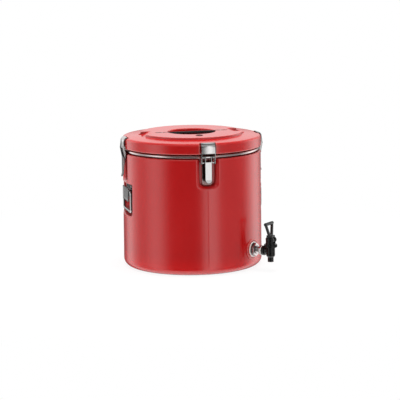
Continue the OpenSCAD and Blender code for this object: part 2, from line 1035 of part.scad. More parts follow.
module tap_body() {
  inlet = nipple_bore - 1;
  color(BLACK)
    difference() {
      union() {
        at_tap() {
          along(collar_x, collar_l, collar_r);
          along(collar_x, tap_axis_x - collar_x, nipple_r);
        }
        at_tap_axis() {
          translate([0, 0, barrel_low])
            cylinder(r = tap_r, h = barrel_top - barrel_low);
          translate([0, 0, barrel_low - cone_h])
            cylinder(r1 = spout_r, r2 = tap_r, h = cone_h);
          translate([0, 0, spout_z])
            cylinder(r = spout_r, h = barrel_low - spout_z);
        }
      }
      at_tap() {
        along(collar_x - overcut, nipple_out - collar_x + overcut + fit_gap, nipple_r + run_gap);
        along(collar_x, tap_axis_x - collar_x, inlet);
      }
      at_tap_axis() {
        translate([0, 0, seat_z])
          cylinder(r = chamber_r, h = barrel_top);
        translate([0, 0, spout_z - overcut])
          cylinder(r = spout_bore, h = seat_z);
      }
    }
}

module tap_bonnet() {
  color(BLACK)
    at_tap_axis()
      difference() {
        union() {
          translate([0, 0, bonnet_low])
            cylinder(r = bonnet_r, h = bonnet_rim - bonnet_low);
          translate([0, 0, bonnet_rim])
            cylinder(r1 = guard_r + guard_wall / 2, r2 = guard_r, h = bonnet_top - bonnet_rim);
          difference() {
            translate([0, 0, bonnet_top])
              cylinder(r = guard_r, h = guard_top - bonnet_top);
            translate([-far, -cheek_out - move_gap, bonnet_top])
              cube([2 * far, 2 * (cheek_out + move_gap), far]);
          }
        }
        translate([0, 0, bonnet_low - overcut])
          cylinder(r = tap_r + run_gap, h = barrel_top - bonnet_low + overcut);
        cylinder(r = stem_r + run_gap, h = bonnet_top + overcut);
      }
}

module tap_stem() {
  color(STEEL)
    at_tap_axis()
      difference() {
        union() {
          translate([0, 0, seat_z + 2])
            cylinder(r = stem_r, h = pin_z - seat_z - 2);
          translate([0, 0, cup_top])
            cylinder(r = 2 * stem_r + 2, h = spring_low - cup_top);
          translate([0, 0, pin_z])
            cross_pin(eye_half, stem_r + 1.8);
        }
        translate([0, 0, pin_z])
          cross_pin(far, tap_pin_r);
      }
}

module tap_seat_cup() {
  color(SILICONE)
    at_tap_axis()
      difference() {
        translate([0, 0, seat_z + seat_gap])
          cylinder(r = cup_r, h = cup_top - seat_z - seat_gap);
        translate([0, 0, seat_z + 2 - seat_gap])
          cylinder(r = stem_r + run_gap, h = far);
      }
}

// Points round the wire of the tap's spring, ring by ring
spring_sides = 6;
spring_steps = spring_turns * 16;
spring_l = barrel_top - spring_low - 2 * spring_wire - 2 * seat_gap;
function spring_point(i, j) =
  let (a = 360 * spring_turns * i / spring_steps,
       b = 360 * j / spring_sides,
       r = spring_r + spring_wire * cos(b))
  [r * cos(a), r * sin(a), spring_l * i / spring_steps + spring_wire * sin(b)];

module tap_spring() {
  n = spring_sides;
  points = [for (i = [0 : spring_steps], j = [0 : n - 1]) spring_point(i, j)];
  sides = [for (i = [0 : spring_steps - 1], j = [0 : n - 1], k = [0, 1])
           let (p = i * n + j, q = i * n + (j + 1) % n)
           k == 0 ? [p, q, q + n] : [p, q + n, p + n]];
  ends = [for (j = [1 : n - 2], k = [0, 1])
          let (p = spring_steps * n)
          k == 0 ? [0, j + 1, j] : [p, p + j, p + j + 1]];
  color(STEEL)
    at_tap_axis()
      translate([0, 0, spring_low + spring_wire + seat_gap])
        polyhedron(points, concat(sides, ends));
}

module tap_pivot_pin() {
  color(STEEL)
    at_tap_axis()
      translate([0, 0, pin_z])
        cross_pin(cheek_out, tap_pin_r - run_gap);
}

// Two cam cheeks on the pivot pin, a bridge above the stem and a trapezoid loop
module tap_lever() {
  y = eye_half + cheek_gap;
  color(BLACK)
    at_tap_axis()
      translate([0, 0, pin_z])
        difference() {
          union() {
            cheeks(y, cheek_t)
              union() {
                translate([cam_offset, 0])
                  circle(r = cam_r);
                translate([-cam_r / 2, cam_r / 5])
                  circle(r = cam_r - 1);
                translate([-cam_r, cam_r / 5])
                  square([lever_plate_l, bridge_up - cam_r / 5]);
              }
            translate([-cam_r, -cheek_out, bridge_up - lever_plate_t / 2])
              cube([lever_plate_l, 2 * cheek_out, lever_plate_t]);
            translate([0, 0, bridge_up]) rotate([0, -loop_lean, 0]) {
              rotate([90, 0, 90])
                linear_extrude(height = loop_t, center = true)
                  difference() {
                    polygon([[-cheek_out, 0], [cheek_out, 0],
                             [loop_half, loop_top], [-loop_half, loop_top]]);
                    polygon([[-loop_window, loop_sill], [loop_window, loop_sill],
                             [loop_half - loop_leg, loop_top], [loop_leg - loop_half, loop_top]]);
                  }
              translate([0, 0, loop_top])
                cross_pin(loop_half, loop_bar_r);
            }
          }
          cross_pin(far, tap_pin_r);
        }
}

outer_shell();
insulation_foam();
inner_vessel();
rim_ring();
foam_plug();
lid_shell();
lid_foam();
lid_liner();
lid_gasket();
grip_bar();
grip_screws();
vent_cap();
vent_tube();
latch_pivots();
latch_rivets();
handle_rivets();
for (s = SIDES) at_side(s) latch_base();
for (s = SIDES) at_side(s) latch_lever();
for (s = SIDES) at_side(s) latch_link();
for (s = SIDES) at_side(s) latch_claw();
for (s = HANDLES) at_side(s) handle_bracket();
for (s = HANDLES) at_side(s) handle_bail();
tap_nipple();
tap_outer_seal();
tap_washer();
tap_clamp_nut();
tap_inner_seal();
tap_inner_nut();
tap_lock_nut();
tap_gasket();
tap_body();
tap_bonnet();
tap_stem();
tap_seat_cup();
tap_spring();
tap_pivot_pin();
tap_lever();
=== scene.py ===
"""Looks of an insulated drink barrel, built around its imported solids."""

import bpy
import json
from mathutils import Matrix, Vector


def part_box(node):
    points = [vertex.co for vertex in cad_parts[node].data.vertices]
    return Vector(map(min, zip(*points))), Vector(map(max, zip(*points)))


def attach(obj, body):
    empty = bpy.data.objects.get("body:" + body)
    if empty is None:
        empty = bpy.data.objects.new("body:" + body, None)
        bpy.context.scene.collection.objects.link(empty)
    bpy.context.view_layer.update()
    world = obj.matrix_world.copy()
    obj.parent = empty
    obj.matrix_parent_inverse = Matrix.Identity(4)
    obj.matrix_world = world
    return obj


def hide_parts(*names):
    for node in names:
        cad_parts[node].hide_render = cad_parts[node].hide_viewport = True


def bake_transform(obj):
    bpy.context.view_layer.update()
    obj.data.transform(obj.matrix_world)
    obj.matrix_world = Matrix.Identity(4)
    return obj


bl_info = {
    "name": "Insulated drink barrel",
    "version": (1, 0, 0),
    "blender": (4, 5, 0),
    "location": "View3D > Sidebar > Barrel",
    "description": "Dresses the solids of an insulated drink barrel with moulded shells, steel and a tap",
    "category": "Add Mesh",
}

import json
import math

import bmesh
import bpy
import numpy as np
from mathutils import Matrix, Quaternion, Vector

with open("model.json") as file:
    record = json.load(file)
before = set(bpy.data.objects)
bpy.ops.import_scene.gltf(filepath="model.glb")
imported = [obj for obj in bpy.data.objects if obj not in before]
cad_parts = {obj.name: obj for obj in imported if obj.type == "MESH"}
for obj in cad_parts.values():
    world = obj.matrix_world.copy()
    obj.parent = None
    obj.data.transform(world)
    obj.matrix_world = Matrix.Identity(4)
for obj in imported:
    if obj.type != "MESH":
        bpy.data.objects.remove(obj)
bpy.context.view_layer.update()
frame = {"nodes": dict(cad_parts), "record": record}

MM = 0.001
# Points nearer to each other than this are one
TINY = 1e-6
SIDES = {"front": 0, "right": 90, "back": 180, "left": 270}
HANDLES = ("right", "left")
IMAGE_SIZE = 400
SHELL_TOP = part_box("outer_shell")[1].z
LID_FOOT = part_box("lid_shell")[0].z
LID_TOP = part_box("lid_shell")[1].z
TAP_AZIMUTH = 45
# Painted highlight red for the shell's edges, and the painted red reflections of the shell on the steel
# beside it
PAINTED_EDGE_HIGHLIGHT_RED = (0.6, 0.12, 0.11, 1)
PAINTED_RED_REFLECTION_FITTINGS = (0.14, 0.03, 0.027, 1)
PAINTED_RED_REFLECTION_RIM = (0.24, 0.05, 0.04, 1)
PAINTED_RED_REFLECTION_PLATES = (0.12, 0.03, 0.025, 1)
# Upright soft boxes of the mirrored studio: degrees from the camera and brightness
SOFT_BOXES = [
    (-178, 0.25), (-156, 0.15), (-146, 0.35), (-136, 1.2), (-124, 1.75), (-112, 1.2), (-98, 0.66),
    (-86, 0.66), (-76, 1.08), (-65, 1.42), (-54, 1.22), (-47, 0.68), (-38, 0.15), (-28, 0.01), (4, 0.01),
    (14, 0.2), (23, 1.4), (33, 1.75), (40, 1.3), (50, 0.45), (60, 0.34), (93, 0.35), (104, 0.9), (117, 1.7),
    (128, 1.9), (140, 1.3), (152, 0.5), (162, 0.3),
]


def number(name, description, default, **kind):
    """A number that a user may change."""
    return bpy.props.FloatProperty(name=name, description=description, default=default, **kind)


def length(name, description, size):
    """A size given in millimetres and kept in metres."""
    return number(name, description, size * MM, unit="LENGTH", precision=5)


def angle(name, description, degrees):
    """An angle given in degrees and kept in radians."""
    return number(name, description, math.radians(degrees), subtype="ANGLE")


def colour(name, description, default):
    """A linear colour that a user may change."""
    return bpy.props.FloatVectorProperty(
        name=name, description=description, default=default, subtype="COLOR", size=3, min=0, max=1)


class BarrelSizes(bpy.types.PropertyGroup):
    """Sizes of the moulded barrel"""

    radius: length("Base radius", "Outer radius above the base's rounding", 190)
    top_radius: length("Rim radius", "Outer radius at the rim", 188.5)
    base_round: length("Base rounding", "Rounding of the bottom edge", 20)
    rim_round: length("Rim rounding", "Rounding of the rim's edge", 4)
    hollow_radius: length("Hollow radius", "Radius of the hollow under the base", 122)
    hollow_depth: length("Hollow depth", "Depth of the hollow under the base", 3)
    mouth_radius: length("Mouth radius", "Radius of the shell's inner edge at the rim", 156.2)
    lip: length("Pocket lip", "Width of the bevelled lip round the pockets", 6.5)
    lip_round: length("Lip rounding", "How softly the lip runs into the barrel's side", 2.2)
    latch_floor: length("Latch pocket floor", "Distance of the latch pocket's floor from the axis", 173.5)
    latch_half: length("Latch pocket half width", "Half width of the latch pocket's floor", 23)
    latch_low: length("Latch pocket foot", "Height of the latch pocket's lower edge", 241)
    handle_floor: length("Handle pocket floor", "Distance of the handle pocket's floor from the axis", 174)
    handle_half: length("Handle pocket half width", "Half width of the handle pocket's floor", 56)
    handle_lip: length("Handle pocket lip", "Width of the lip round the handle pockets", 2.5)
    handle_low: length("Handle pocket foot", "Height of the handle pocket's lower edge", 147)
    handle_high: length("Handle pocket head", "Height of the handle pocket's upper edge", 233)
    seam: length("Parting line", "Height of the parting line on the moulded side", 0.25)


class LidSizes(bpy.types.PropertyGroup):
    """Sizes of the moulded lid"""

    radius: length("Lid radius", "Outer radius of the lid", 189.5)
    shoulder: length("Shoulder", "Rounding of the lid's shoulder", 8)
    edge_z: length("Shoulder height", "Height of the shoulder", 355.7)
    disc_radius: length("Disc radius", "Radius of the raised disc", 140)
    disc_z: length("Disc foot", "Height of the raised disc's foot", 359.7)
    recess_radius: length("Recess radius", "Radius of the grip recess", 65)
    recess_z: length("Recess floor", "Height of the grip recess's floor", 339.7)
    slot_half: length("Slot half width", "Half width of the slots that hold the grip bar", 4.7)
    slot_z: length("Slot floor", "Height of the slots' floor", 357.2)
    slot_end: length("Slot end", "Distance of the slots' ends from the axis", 98.2)
    scoop_half: length("Scoop half width", "Half width of the finger scoops", 32)
    scoop_start: length("Scoop start", "Distance of the scoops' upper edge from the axis", 109)
    scoop_depth: length("Scoop depth", "Depth of the finger scoops at their outer end", 9.5)
    notch_half: length("Notch half width", "Half width of the latch notches", 22)
    channel: length("Channel", "Distance of the notch's wall from the axis", 181.5)
    ledge: length("Ledge", "Distance of the ledge's inner wall from the axis", 177.5)
    ledge_z: length("Ledge height", "Height of the ledge under the hook", 350.35)


class MetalSizes(bpy.types.PropertyGroup):
    """Sizes of latches, handles and fittings"""

    sheet_round: length("Sheet edge", "Rounding of the stamped sheet's edges", 0.8)
    bail_radius: length("Bail rod", "Radius of the bail's rod", 3.25)
    bail_half: length("Bail half width", "Half width between the bail's rod centres", 48)
    bail_length: length("Bail length", "Height between the bail's rod centres", 55)
    bail_bend: length("Bail bend", "Bend radius of the bail's corners", 9)
    bail_reach: length("Bail distance", "Distance of the bail from the axis", 181)
    bail_z: length("Bail pivot height", "Height of the bail's upper bar", 212)
    plate_round: length("Plate corner", "Corner radius of the handle's cover plate", 6)
    plate_border: length("Plate border", "Border round the panel pressed into the cover plate", 5)
    plate_press: length("Plate press", "Depth of the panel pressed into the cover plate", 0.5)
    claw_bow: length("Claw bow", "Radius to which the claw plates are bowed", 60)
    thread_pitch: length("Thread pitch", "Pitch of the nipple's thread", 2)
    thread_depth: length("Thread depth", "Depth of the nipple's thread", 0.6)


class TapSizes(bpy.types.PropertyGroup):
    """Sizes of the tap"""

    height: length("Inlet height", "Height of the tap's inlet axis", 55)
    axis: length("Axis distance", "Distance of the tap barrel's axis from the barrel's axis", 246.3)
    pad_face: length("Pad face", "Distance of the moulded pad's face from the axis", 191.8)
    pad_radius: length("Pad radius", "Radius of the moulded pad", 28)
    edge_round: length("Edge rounding", "Rounding of the tap's moulded edges", 0.8)
    window_z: length("Window sill", "Height of the sill of the lever's window", 102)
    window_sill: length("Sill half width", "Half width of the lever's window at its sill", 3.3)
    window_head: length("Head half width", "Half width of the lever's window at its head", 12.9)
    window_gain: length("Window gain", "How much wider the window is made", 1.5)
    bonnet_radius: length("Bonnet radius", "Radius of the bonnet's ring", 17.5)


class Finishes(bpy.types.PropertyGroup):
    """Colours of the finishes"""

    red: colour("Red", "Moulded shell and lid", (0.41, 0.0035, 0.004))
    black: colour("Black", "Tap and vent", (0.005, 0.005, 0.005))
    steel: colour("Steel", "Polished latches and handles", (0.60, 0.59, 0.585))
    sheet: colour("Sheet", "Brushed vessel and liner", (0.55, 0.545, 0.54))
    silicone: colour("Silicone", "Seals that touch the drink", (0.78, 0.78, 0.74))
    foam: colour("Foam", "Insulation between the shells", (0.80, 0.68, 0.36))


class StageSettings(bpy.types.PropertyGroup):
    """Camera, lamps and background"""

    azimuth: angle("Azimuth", "Camera direction from the front", -13.2)
    elevation: angle("Elevation", "Camera height above the horizon", 9.64)
    roll: angle("Roll", "Camera roll", 0.68)
    distance: length("Distance", "Camera distance from the aim point", 5000)
    aim_z: length("Aim height", "Height of the point the camera aims at", 170)
    focal: number("Focal length", "In pixels of the square image", 1818, subtype="PIXEL")
    aim_x: number("Aim column", "Where the aim point appears", 192.24, subtype="PIXEL")
    aim_y: number("Aim row", "Where the aim point appears", 201.65, subtype="PIXEL")
    ambient: number("Ambient", "Strength of the light from all round", 0.66)
    sky: number("Sky", "Brightness of the mirrored sky behind the barrel", 1.02)
    overhead: number("Overhead box", "Brightness of the mirrored box above the camera", 0.45)
    ground: number("Ground", "Brightness of the mirrored floor", 1.8)


GROUPS = {
    "barrel_sizes": BarrelSizes,
    "lid_sizes": LidSizes,
    "metal_sizes": MetalSizes,
    "tap_sizes": TapSizes,
    "barrel_finishes": Finishes,
    "barrel_stage": StageSettings,
}


class Value:
    """A shader socket that takes part in Python arithmetic."""

    def __init__(self, finish, socket):
        self.finish = finish
        self.socket = socket

    def maths(self, operation, first, second):
        """A Math node on two values."""
        return self.finish.add("ShaderNodeMath", {"operation": operation}, {0: first, 1: second})

    def __add__(self, other):
        return self.maths("ADD", self, other)

    def __radd__(self, other):
        return self.maths("ADD", other, self)

    def __sub__(self, other):
        return self.maths("SUBTRACT", self, other)

    def __rsub__(self, other):
        return self.maths("SUBTRACT", other, self)

    def __mul__(self, other):
        return self.maths("MULTIPLY", self, other)

    def __rmul__(self, other):
        return self.maths("MULTIPLY", other, self)


def set_stops(elements, stops):
    """Gives a ramp its grey stops (position, value)."""
    elements.remove(elements[0])
    for i, (where, value) in enumerate(stops):
        stop = elements[0] if i == 0 else elements.new(where)
        stop.position = where
        stop.color = (value, value, value, 1)


class Finish:
    """A node tree under construction, of a material or of the world."""

    def __init__(self, owner):
        owner.use_nodes = True
        self.tree = owner.node_tree
        self.tree.nodes.clear()

    def add(self, kind, settings=None, inputs=None, output=0):
        """Adds a node, sets it up, feeds its sockets and returns one output."""
        node = self.tree.nodes.new(kind)
        for name, value in (settings or {}).items():
            if name == "stops":
                set_stops(node.color_ramp.elements, value)
            else:
                setattr(node, name, value)
        for name, value in (inputs or {}).items():
            if isinstance(value, Value):
                self.tree.links.new(value.socket, node.inputs[name])
            else:
                node.inputs[name].default_value = value
        return Value(self, node.outputs[output]) if node.outputs else None

    def place(self, scale=(1, 1, 1)):
        """Object coordinates, stretched."""
        where = self.add("ShaderNodeTexCoord", output="Object")
        return self.add("ShaderNodeMapping", {}, {"Vector": where, "Scale": scale})

    def noise(self, scale, detail=3, stretch=(1, 1, 1)):
        """A value from 0 to 1 that wanders over the surface."""
        inputs = {"Vector": self.place(stretch), "Scale": scale, "Detail": detail}
        return self.add("ShaderNodeTexNoise", {}, inputs)

    def blend(self, factor, first, second):
        """A mix of two colours."""
        inputs = {"Factor": factor, 6: first, 7: second}
        return self.add("ShaderNodeMix", {"data_type": "RGBA"}, inputs, output=2)

    def bump(self, height, strength, distance):
        """A normal that follows a height."""
        inputs = {"Height": height, "Strength": strength, "Distance": distance}
        return self.add("ShaderNodeBump", {}, inputs)

    def ramp(self, position, stops):
        """A grey value that follows stops (position, value)."""
        return self.add("ShaderNodeValToRGB", {"stops": stops}, {"Fac": position})

    def between(self, value, low, high, first=0.0, last=1.0):
        """A smooth step from first to last while the value goes from low to high."""
        inputs = {"Value": value, "From Min": low, "From Max": high, "To Min": first, "To Max": last}
        return self.add("ShaderNodeMapRange", {"interpolation_type": "SMOOTHSTEP"}, inputs)

    def hidden(self, distance, own, low=0.3, high=0.95):
        """0 on open faces, 1 deep in corners and pockets, where the finishes paint shade or reflections;
        own leaves other pieces out of it.
        """
        settings = {"samples": 8, "only_local": own}
        open_sky = self.add("ShaderNodeAmbientOcclusion", settings, {"Distance": distance}, output="AO")
        return self.between(open_sky, low, high, 1, 0)

    def edges(self, distance):
        """1 on a piece's outer edges, 0 further in than the distance; the finishes paint edge highlights or
        dark edge reflections with it.
        """
        settings = {"samples": 8, "only_local": True, "inside": True}
        solid = self.add("ShaderNodeAmbientOcclusion", settings, {"Distance": distance}, output="AO")
        return self.between(solid, 0.6, 0.98, 1, 0)

    def surface(self, **inputs):
        """Ends the tree in one Principled shader."""
        sockets = {name.replace("_", " "): value for name, value in inputs.items()}
        shader = self.add("ShaderNodeBsdfPrincipled", {}, sockets)
        self.add("ShaderNodeOutputMaterial", {}, {"Surface": shader})


def shade(rgb, factor):
    """A colour made lighter or darker, with alpha."""
    return tuple(min(c * factor, 1) for c in rgb) + (1,)


def moulded_red(f, rgb):
    """Rotationally moulded skin: soft gloss, faint orange peel and slight clouding, with painted highlights
    on its edges, painted light towards the foot and painted shade in its pockets.
    """
    cloud = f.noise(9, 2)
    peel = f.noise(420, 2)
    height = f.add("ShaderNodeSeparateXYZ", {}, {0: f.place()}, output="Z")
    # Painted light from the floor: the skin is made lighter towards the foot
    painted_floor_light = f.between(height + cloud * 0.02, 0, 70 * MM, 1, 0)
    skin = f.blend(cloud, shade(rgb, 0.94), shade(rgb, 1.06))
    skin = f.blend(painted_floor_light, skin, shade(rgb, 1.45))
    # Painted highlight along the moulded edges
    skin = f.blend(f.edges(4 * MM), skin, PAINTED_EDGE_HIGHLIGHT_RED)
    # Painted shade in pockets and recesses; the same mask makes them rougher
    hidden = f.hidden(30 * MM, True)
    return {
        "Base_Color": f.blend(hidden, skin, shade(rgb, 0.35)),
        "Roughness": 0.15 + cloud * 0.05 + peel * 0.03 + hidden * 0.5,
        "Specular_IOR_Level": 0.7,
        "Normal": f.bump(peel, 0.05, 0.4 * MM),
    }


def moulded_black(f, rgb):
    """Injection moulded tap with a fine spark grain."""
    grain = f.noise(1800, 2)
    wear = f.noise(60, 3)
    return {
        "Base_Color": f.blend(wear, shade(rgb, 0.8), shade(rgb, 1.6)),
        "Roughness": 0.22 + wear * 0.12,
        "Specular_IOR_Level": 0.28,
        "Normal": f.bump(grain, 0.10, 0.2 * MM),
    }


def polished_steel(f, rgb):
    """Stamped stainless steel, polished along its length, with painted shade near other pieces and painted
    dark reflections along its edges.
    """
    streak = f.noise(60, 3, (14, 14, 1))
    haze = f.noise(120, 2)
    tone = f.blend(haze, shade(rgb, 0.94), shade(rgb, 1.04))
    # Painted shade where other pieces come near
    tone = f.blend(f.hidden(60 * MM, False), tone, shade(rgb, 0.12))
    return {
        # Painted dark reflection along the edges
        "Base_Color": f.blend(f.edges(1.4 * MM), tone, shade(rgb, 0.07)),
        "Metallic": 1.0,
        "Roughness": 0.16 + streak * 0.12 + haze * 0.05,
        "Normal": f.bump(streak, 0.04, 0.3 * MM),
    }


def turned_steel(f, rgb):
    """Turned fittings with fine marks and a painted red reflection of the shell in their corners."""
    streak = f.noise(260, 3)
    tone = f.blend(streak, shade(rgb, 0.88), shade(rgb, 1.02))
    return {
        # Painted red reflection of the shell in the corners
        "Base_Color": f.blend(f.hidden(12 * MM, False), tone, PAINTED_RED_REFLECTION_FITTINGS),
        "Metallic": 1.0,
        "Roughness": 0.18 + streak * 0.12,
        "Normal": f.bump(streak, 0.05, 0.2 * MM),
    }


def brushed_sheet(f, rgb):
    """Drawn vessel steel, brushed round the barrel, with painted shade in its corners."""
    brush = f.noise(10, 4, (1, 1, 160))
    cloud = f.noise(14, 2)
    tone = f.blend(brush, shade(rgb, 0.86), shade(rgb, 1.08))
    return {
        # Painted shade in the corners
        "Base_Color": f.blend(f.hidden(12 * MM, False), tone, shade(rgb, 0.2)),
        "Metallic": 0.7,
        "Roughness": 0.15 + brush * 0.14 + cloud * 0.05,
        "Normal": f.bump(brush, 0.06, 0.3 * MM),
    }


def rim_steel(f, rgb):
    """Rolled bead with a painted red reflection of the shell above and below it."""
    roll = f.noise(10, 4, (1, 1, 160))
    bright = f.blend(roll, shade(rgb, 1.25), shade(rgb, 1.45))
    # Painted red reflection of the shell: a little all over the bead, most where it is tucked between lid
    # and shell
    red = 0.16 + f.hidden(30 * MM, False, 0.62, 1) * 0.84
    return {
        "Base_Color": f.blend(red, bright, PAINTED_RED_REFLECTION_RIM),
        "Metallic": 1.0,
        "Roughness": 0.08 + roll * 0.08,
        "Normal": f.bump(roll, 0.03, 0.2 * MM),
    }


def base_steel(f, rgb):
    """Satin plate that lies in a pocket, with a painted reflection of its red walls."""
    look = polished_steel(f, rgb)
    # Painted red reflection of the pocket's walls, strongest deep in the pocket
    painted_wall_reflection = f.hidden(60 * MM, False, 0.5, 1)
    look["Base_Color"] = f.blend(painted_wall_reflection, look["Base_Color"], PAINTED_RED_REFLECTION_PLATES)
    return look


def cast_silicone(f, rgb):
    """Milky silicone with a dusty bloom."""
    bloom = f.noise(150, 3)
    return {
        "Base_Color": f.blend(bloom, shade(rgb, 0.92), shade(rgb, 1.05)),
        "Roughness": 0.42 + bloom * 0.2,
        "Normal": f.bump(bloom, 0.08, 0.3 * MM),
    }


def rigid_foam(f, rgb):
    """Foamed insulation with open cells where it was cut."""
    cells = f.add("ShaderNodeTexVoronoi", {}, {"Vector": f.place(), "Scale": 700})
    return {
        "Base_Color": f.blend(cells, shade(rgb, 0.8), shade(rgb, 1.1)),
        "Roughness": 0.85 + cells * 0.1,
        "Normal": f.bump(cells, 0.4, 0.6 * MM),
    }


FINISHES = {
    "red_shell": (moulded_red, "red"),
    "black_tap": (moulded_black, "black"),
    "latch_steel": (polished_steel, "steel"),
    "fixing_steel": (turned_steel, "steel"),
    "vessel_steel": (brushed_sheet, "sheet"),
    "rim_steel": (rim_steel, "sheet"),
    "base_steel": (base_steel, "sheet"),
    "silicone": (cast_silicone, "silicone"),
    "foam": (rigid_foam, "foam"),
}


def finish_for(slot):
    """The material of one of the finishes, made once."""
    made = bpy.data.materials.get("finish_" + slot)
    if made is None:
        made = bpy.data.materials.new("finish_" + slot)
        recipe, name = FINISHES[slot]
        f = Finish(made)
        f.surface(**recipe(f, tuple(getattr(bpy.context.scene.barrel_finishes, name))))
    return made


def slot_of(node):
    """The record's material slot of a solid."""
    return next(p["material_slot"] for p in frame["record"]["subparts"] if p["node"] == node)


def body_of(node):
    """The moving body that a solid belongs to."""
    return next(b for b, nodes in frame["record"]["behaviour"]["bodies"].items() if node in nodes)


def soft_min(a, b, k):
    """The smaller value, with the corner between the two rounded over k."""
    h = np.maximum(k - np.abs(a - b), 0) / k
    return np.minimum(a, b) - h * h * k / 4


def soft_max(a, b, k):
    """The larger value, rounded in the same way."""
    return -soft_min(-a, -b, k)


def soft_ramp(d, s):
    """0 below -s, d above s, and a smooth bend between."""
    return np.where(d > s, d, np.where(d < -s, 0, (d + s) ** 2 / (4 * s)))


def smooth_step(low, high, x):
    """0 below low, 1 above high, and a smooth rise between."""
    t = np.clip((x - low) / (high - low), 0, 1)
    return t * t * (3 - 2 * t)


def rounded(corners, steps=6):
    """An outline through corners (r, z, rounding), with each corner replaced by an arc."""
    path = []
    for i, (r, z, bend) in enumerate(corners):
        here = Vector((r, z))
        if not bend or i in (0, len(corners) - 1):
            path.append(here)
            continue
        before = (Vector(corners[i - 1][:2]) - here).normalized()
        after = (Vector(corners[i + 1][:2]) - here).normalized()
        half = before.angle(after) / 2
        centre = here + (before + after).normalized() * (bend / math.sin(half))
        first = here + before * (bend / math.tan(half)) - centre
        last = here + after * (bend / math.tan(half)) - centre
        start = math.atan2(first.y, first.x)
        turn = (math.atan2(last.y, last.x) - start + math.pi) % (2 * math.pi) - math.pi
        for k in range(steps + 1):
            a = start + turn * k / steps
            path.append(centre + bend * Vector((math.cos(a), math.sin(a))))
    return path


def spaced(path, step):
    """The same outline with points no further apart than step."""
    out = [path[0]]
    for a, b in zip(path, path[1:]):
        count = max(1, math.ceil((b - a).length / step))
        out += [a.lerp(b, (k + 1) / count) for k in range(count)]
    return out


def grid_faces(rows, columns, closed):
    """Quads between rows of columns; the columns always close, the rows where asked."""
    faces = []
    for i in range(rows if closed else rows - 1):
        low, high = i * columns, (i + 1) % rows * columns
        for j in range(columns):
            k = (j + 1) % columns
            faces.append((low + j, low + k, high + k, high + j))
    return faces


def add_piece(name, shape, slot, body, stands_for=(), sharp=32):
    """Adds a mesh of points and faces, smooth apart from its sharp edges, that rides on a body."""
    points, faces = shape
    mesh = bpy.data.meshes.new(name)
    mesh.from_pydata([tuple(p) for p in points], [], faces)
    bm = bmesh.new()
    bm.from_mesh(mesh)
    bmesh.ops.remove_doubles(bm, verts=bm.verts, dist=2 * TINY)
    bmesh.ops.dissolve_degenerate(bm, edges=bm.edges, dist=TINY)
    bmesh.ops.recalc_face_normals(bm, faces=bm.faces)
    bm.to_mesh(mesh)
    bm.free()
    dress(bpy.data.objects.new(name, mesh), slot, body, stands_for, sharp)


def dress(obj, slot, body, stands_for, sharp=32, finish=None):
    """Gives a new piece its shading, its finish and, when one is given, its body."""
    bpy.context.scene.collection.objects.link(obj)
    obj.data.materials.clear()
    obj.data.materials.append(finish_for(finish or slot))
    obj.data.shade_smooth()
    obj.data.set_sharp_from_angle(angle=math.radians(sharp))
    if body:
        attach(obj, body)
    if stands_for:
        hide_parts(*stands_for)


def steady(mesh, limit=50):
    """Corner normals led by the larger faces, so that flat faces beside rounded edges stay flat."""
    nearest = math.cos(math.radians(limit))
    pull = [p.normal * p.area for p in mesh.polygons]
    around = [[] for _ in mesh.vertices]
    for p in mesh.polygons:
        for v in p.vertices:
            around[v].append(p.index)
    corners = []
    for p in mesh.polygons:
        for v in p.vertices:
            near = [pull[q] for q in around[v] if mesh.polygons[q].normal.dot(p.normal) > nearest]
            corners.append(sum(near, Vector()).normalized())
    mesh.normals_split_custom_set(corners)


def eased(node, width, reshape=None, finish=None):
    """A copy of a solid with its sharp edges rounded, shown in its place."""
    sharp = math.radians(35)
    mesh = frame["nodes"][node].data.copy()
    bm = bmesh.new()
    bm.from_mesh(mesh)
    bmesh.ops.remove_doubles(bm, verts=bm.verts, dist=TINY)
    bmesh.ops.dissolve_limit(bm, angle_limit=math.radians(0.5), verts=bm.verts, edges=bm.edges)
    if reshape:
        reshape(bm)
    edges = [e for e in bm.edges if e.is_manifold and e.calc_face_angle() > sharp]
    bmesh.ops.bevel(bm, geom=edges, offset=width, offset_type="OFFSET", segments=3, profile=0.5,
                    affect="EDGES", clamp_overlap=True)
    bm.to_mesh(mesh)
    bm.free()
    piece = bpy.data.objects.new(node + "_eased", mesh)
    dress(piece, slot_of(node), body_of(node), [node], 50, finish)
    steady(mesh)


def keep(*nodes, finish=None):
    """Shows solids as they are, with the finish of their slot or another one."""
    for node in nodes:
        mesh = frame["nodes"][node].data
        mesh.materials.clear()
        mesh.materials.append(finish_for(finish or slot_of(node)))


def outward(azimuth, r, z=0.0):
    """A point at a distance from the axis; azimuth counts from the front towards the right."""
    a = math.radians(azimuth)
    return Vector((r * math.sin(a), -r * math.cos(a), z))


def facing(azimuth, r, z):
    """Axes at such a point: X across, Y up and Z outward."""
    a = math.radians(azimuth)
    across = Vector((math.cos(a), math.sin(a), 0))
    turn = Matrix((across, (0, 0, 1), outward(azimuth, 1))).transposed()
    return Matrix.Translation(outward(azimuth, r, z)) @ turn.to_4x4()


def turned(path, steps=64, radius=None):
    """Points and quads of an outline turned about Z; radius may change r with the angle."""
    points = []
    for r, z in path:
        for j in range(steps):
            a = 2 * math.pi * j / steps
            reach = radius(r, z, a) if radius else r
            points.append(Vector((reach * math.cos(a), reach * math.sin(a), z)))
    return points, grid_faces(len(path), steps, True)


def placed(shape, place):
    """The same points and faces, moved to a place."""
    return [place @ p for p in shape[0]], shape[1]


def joined(shapes):
    """One mesh of several shapes."""
    points, faces = [], []
    for more_points, more_faces in shapes:
        faces += [tuple(i + len(points) for i in face) for face in more_faces]
        points += more_points
    return points, faces


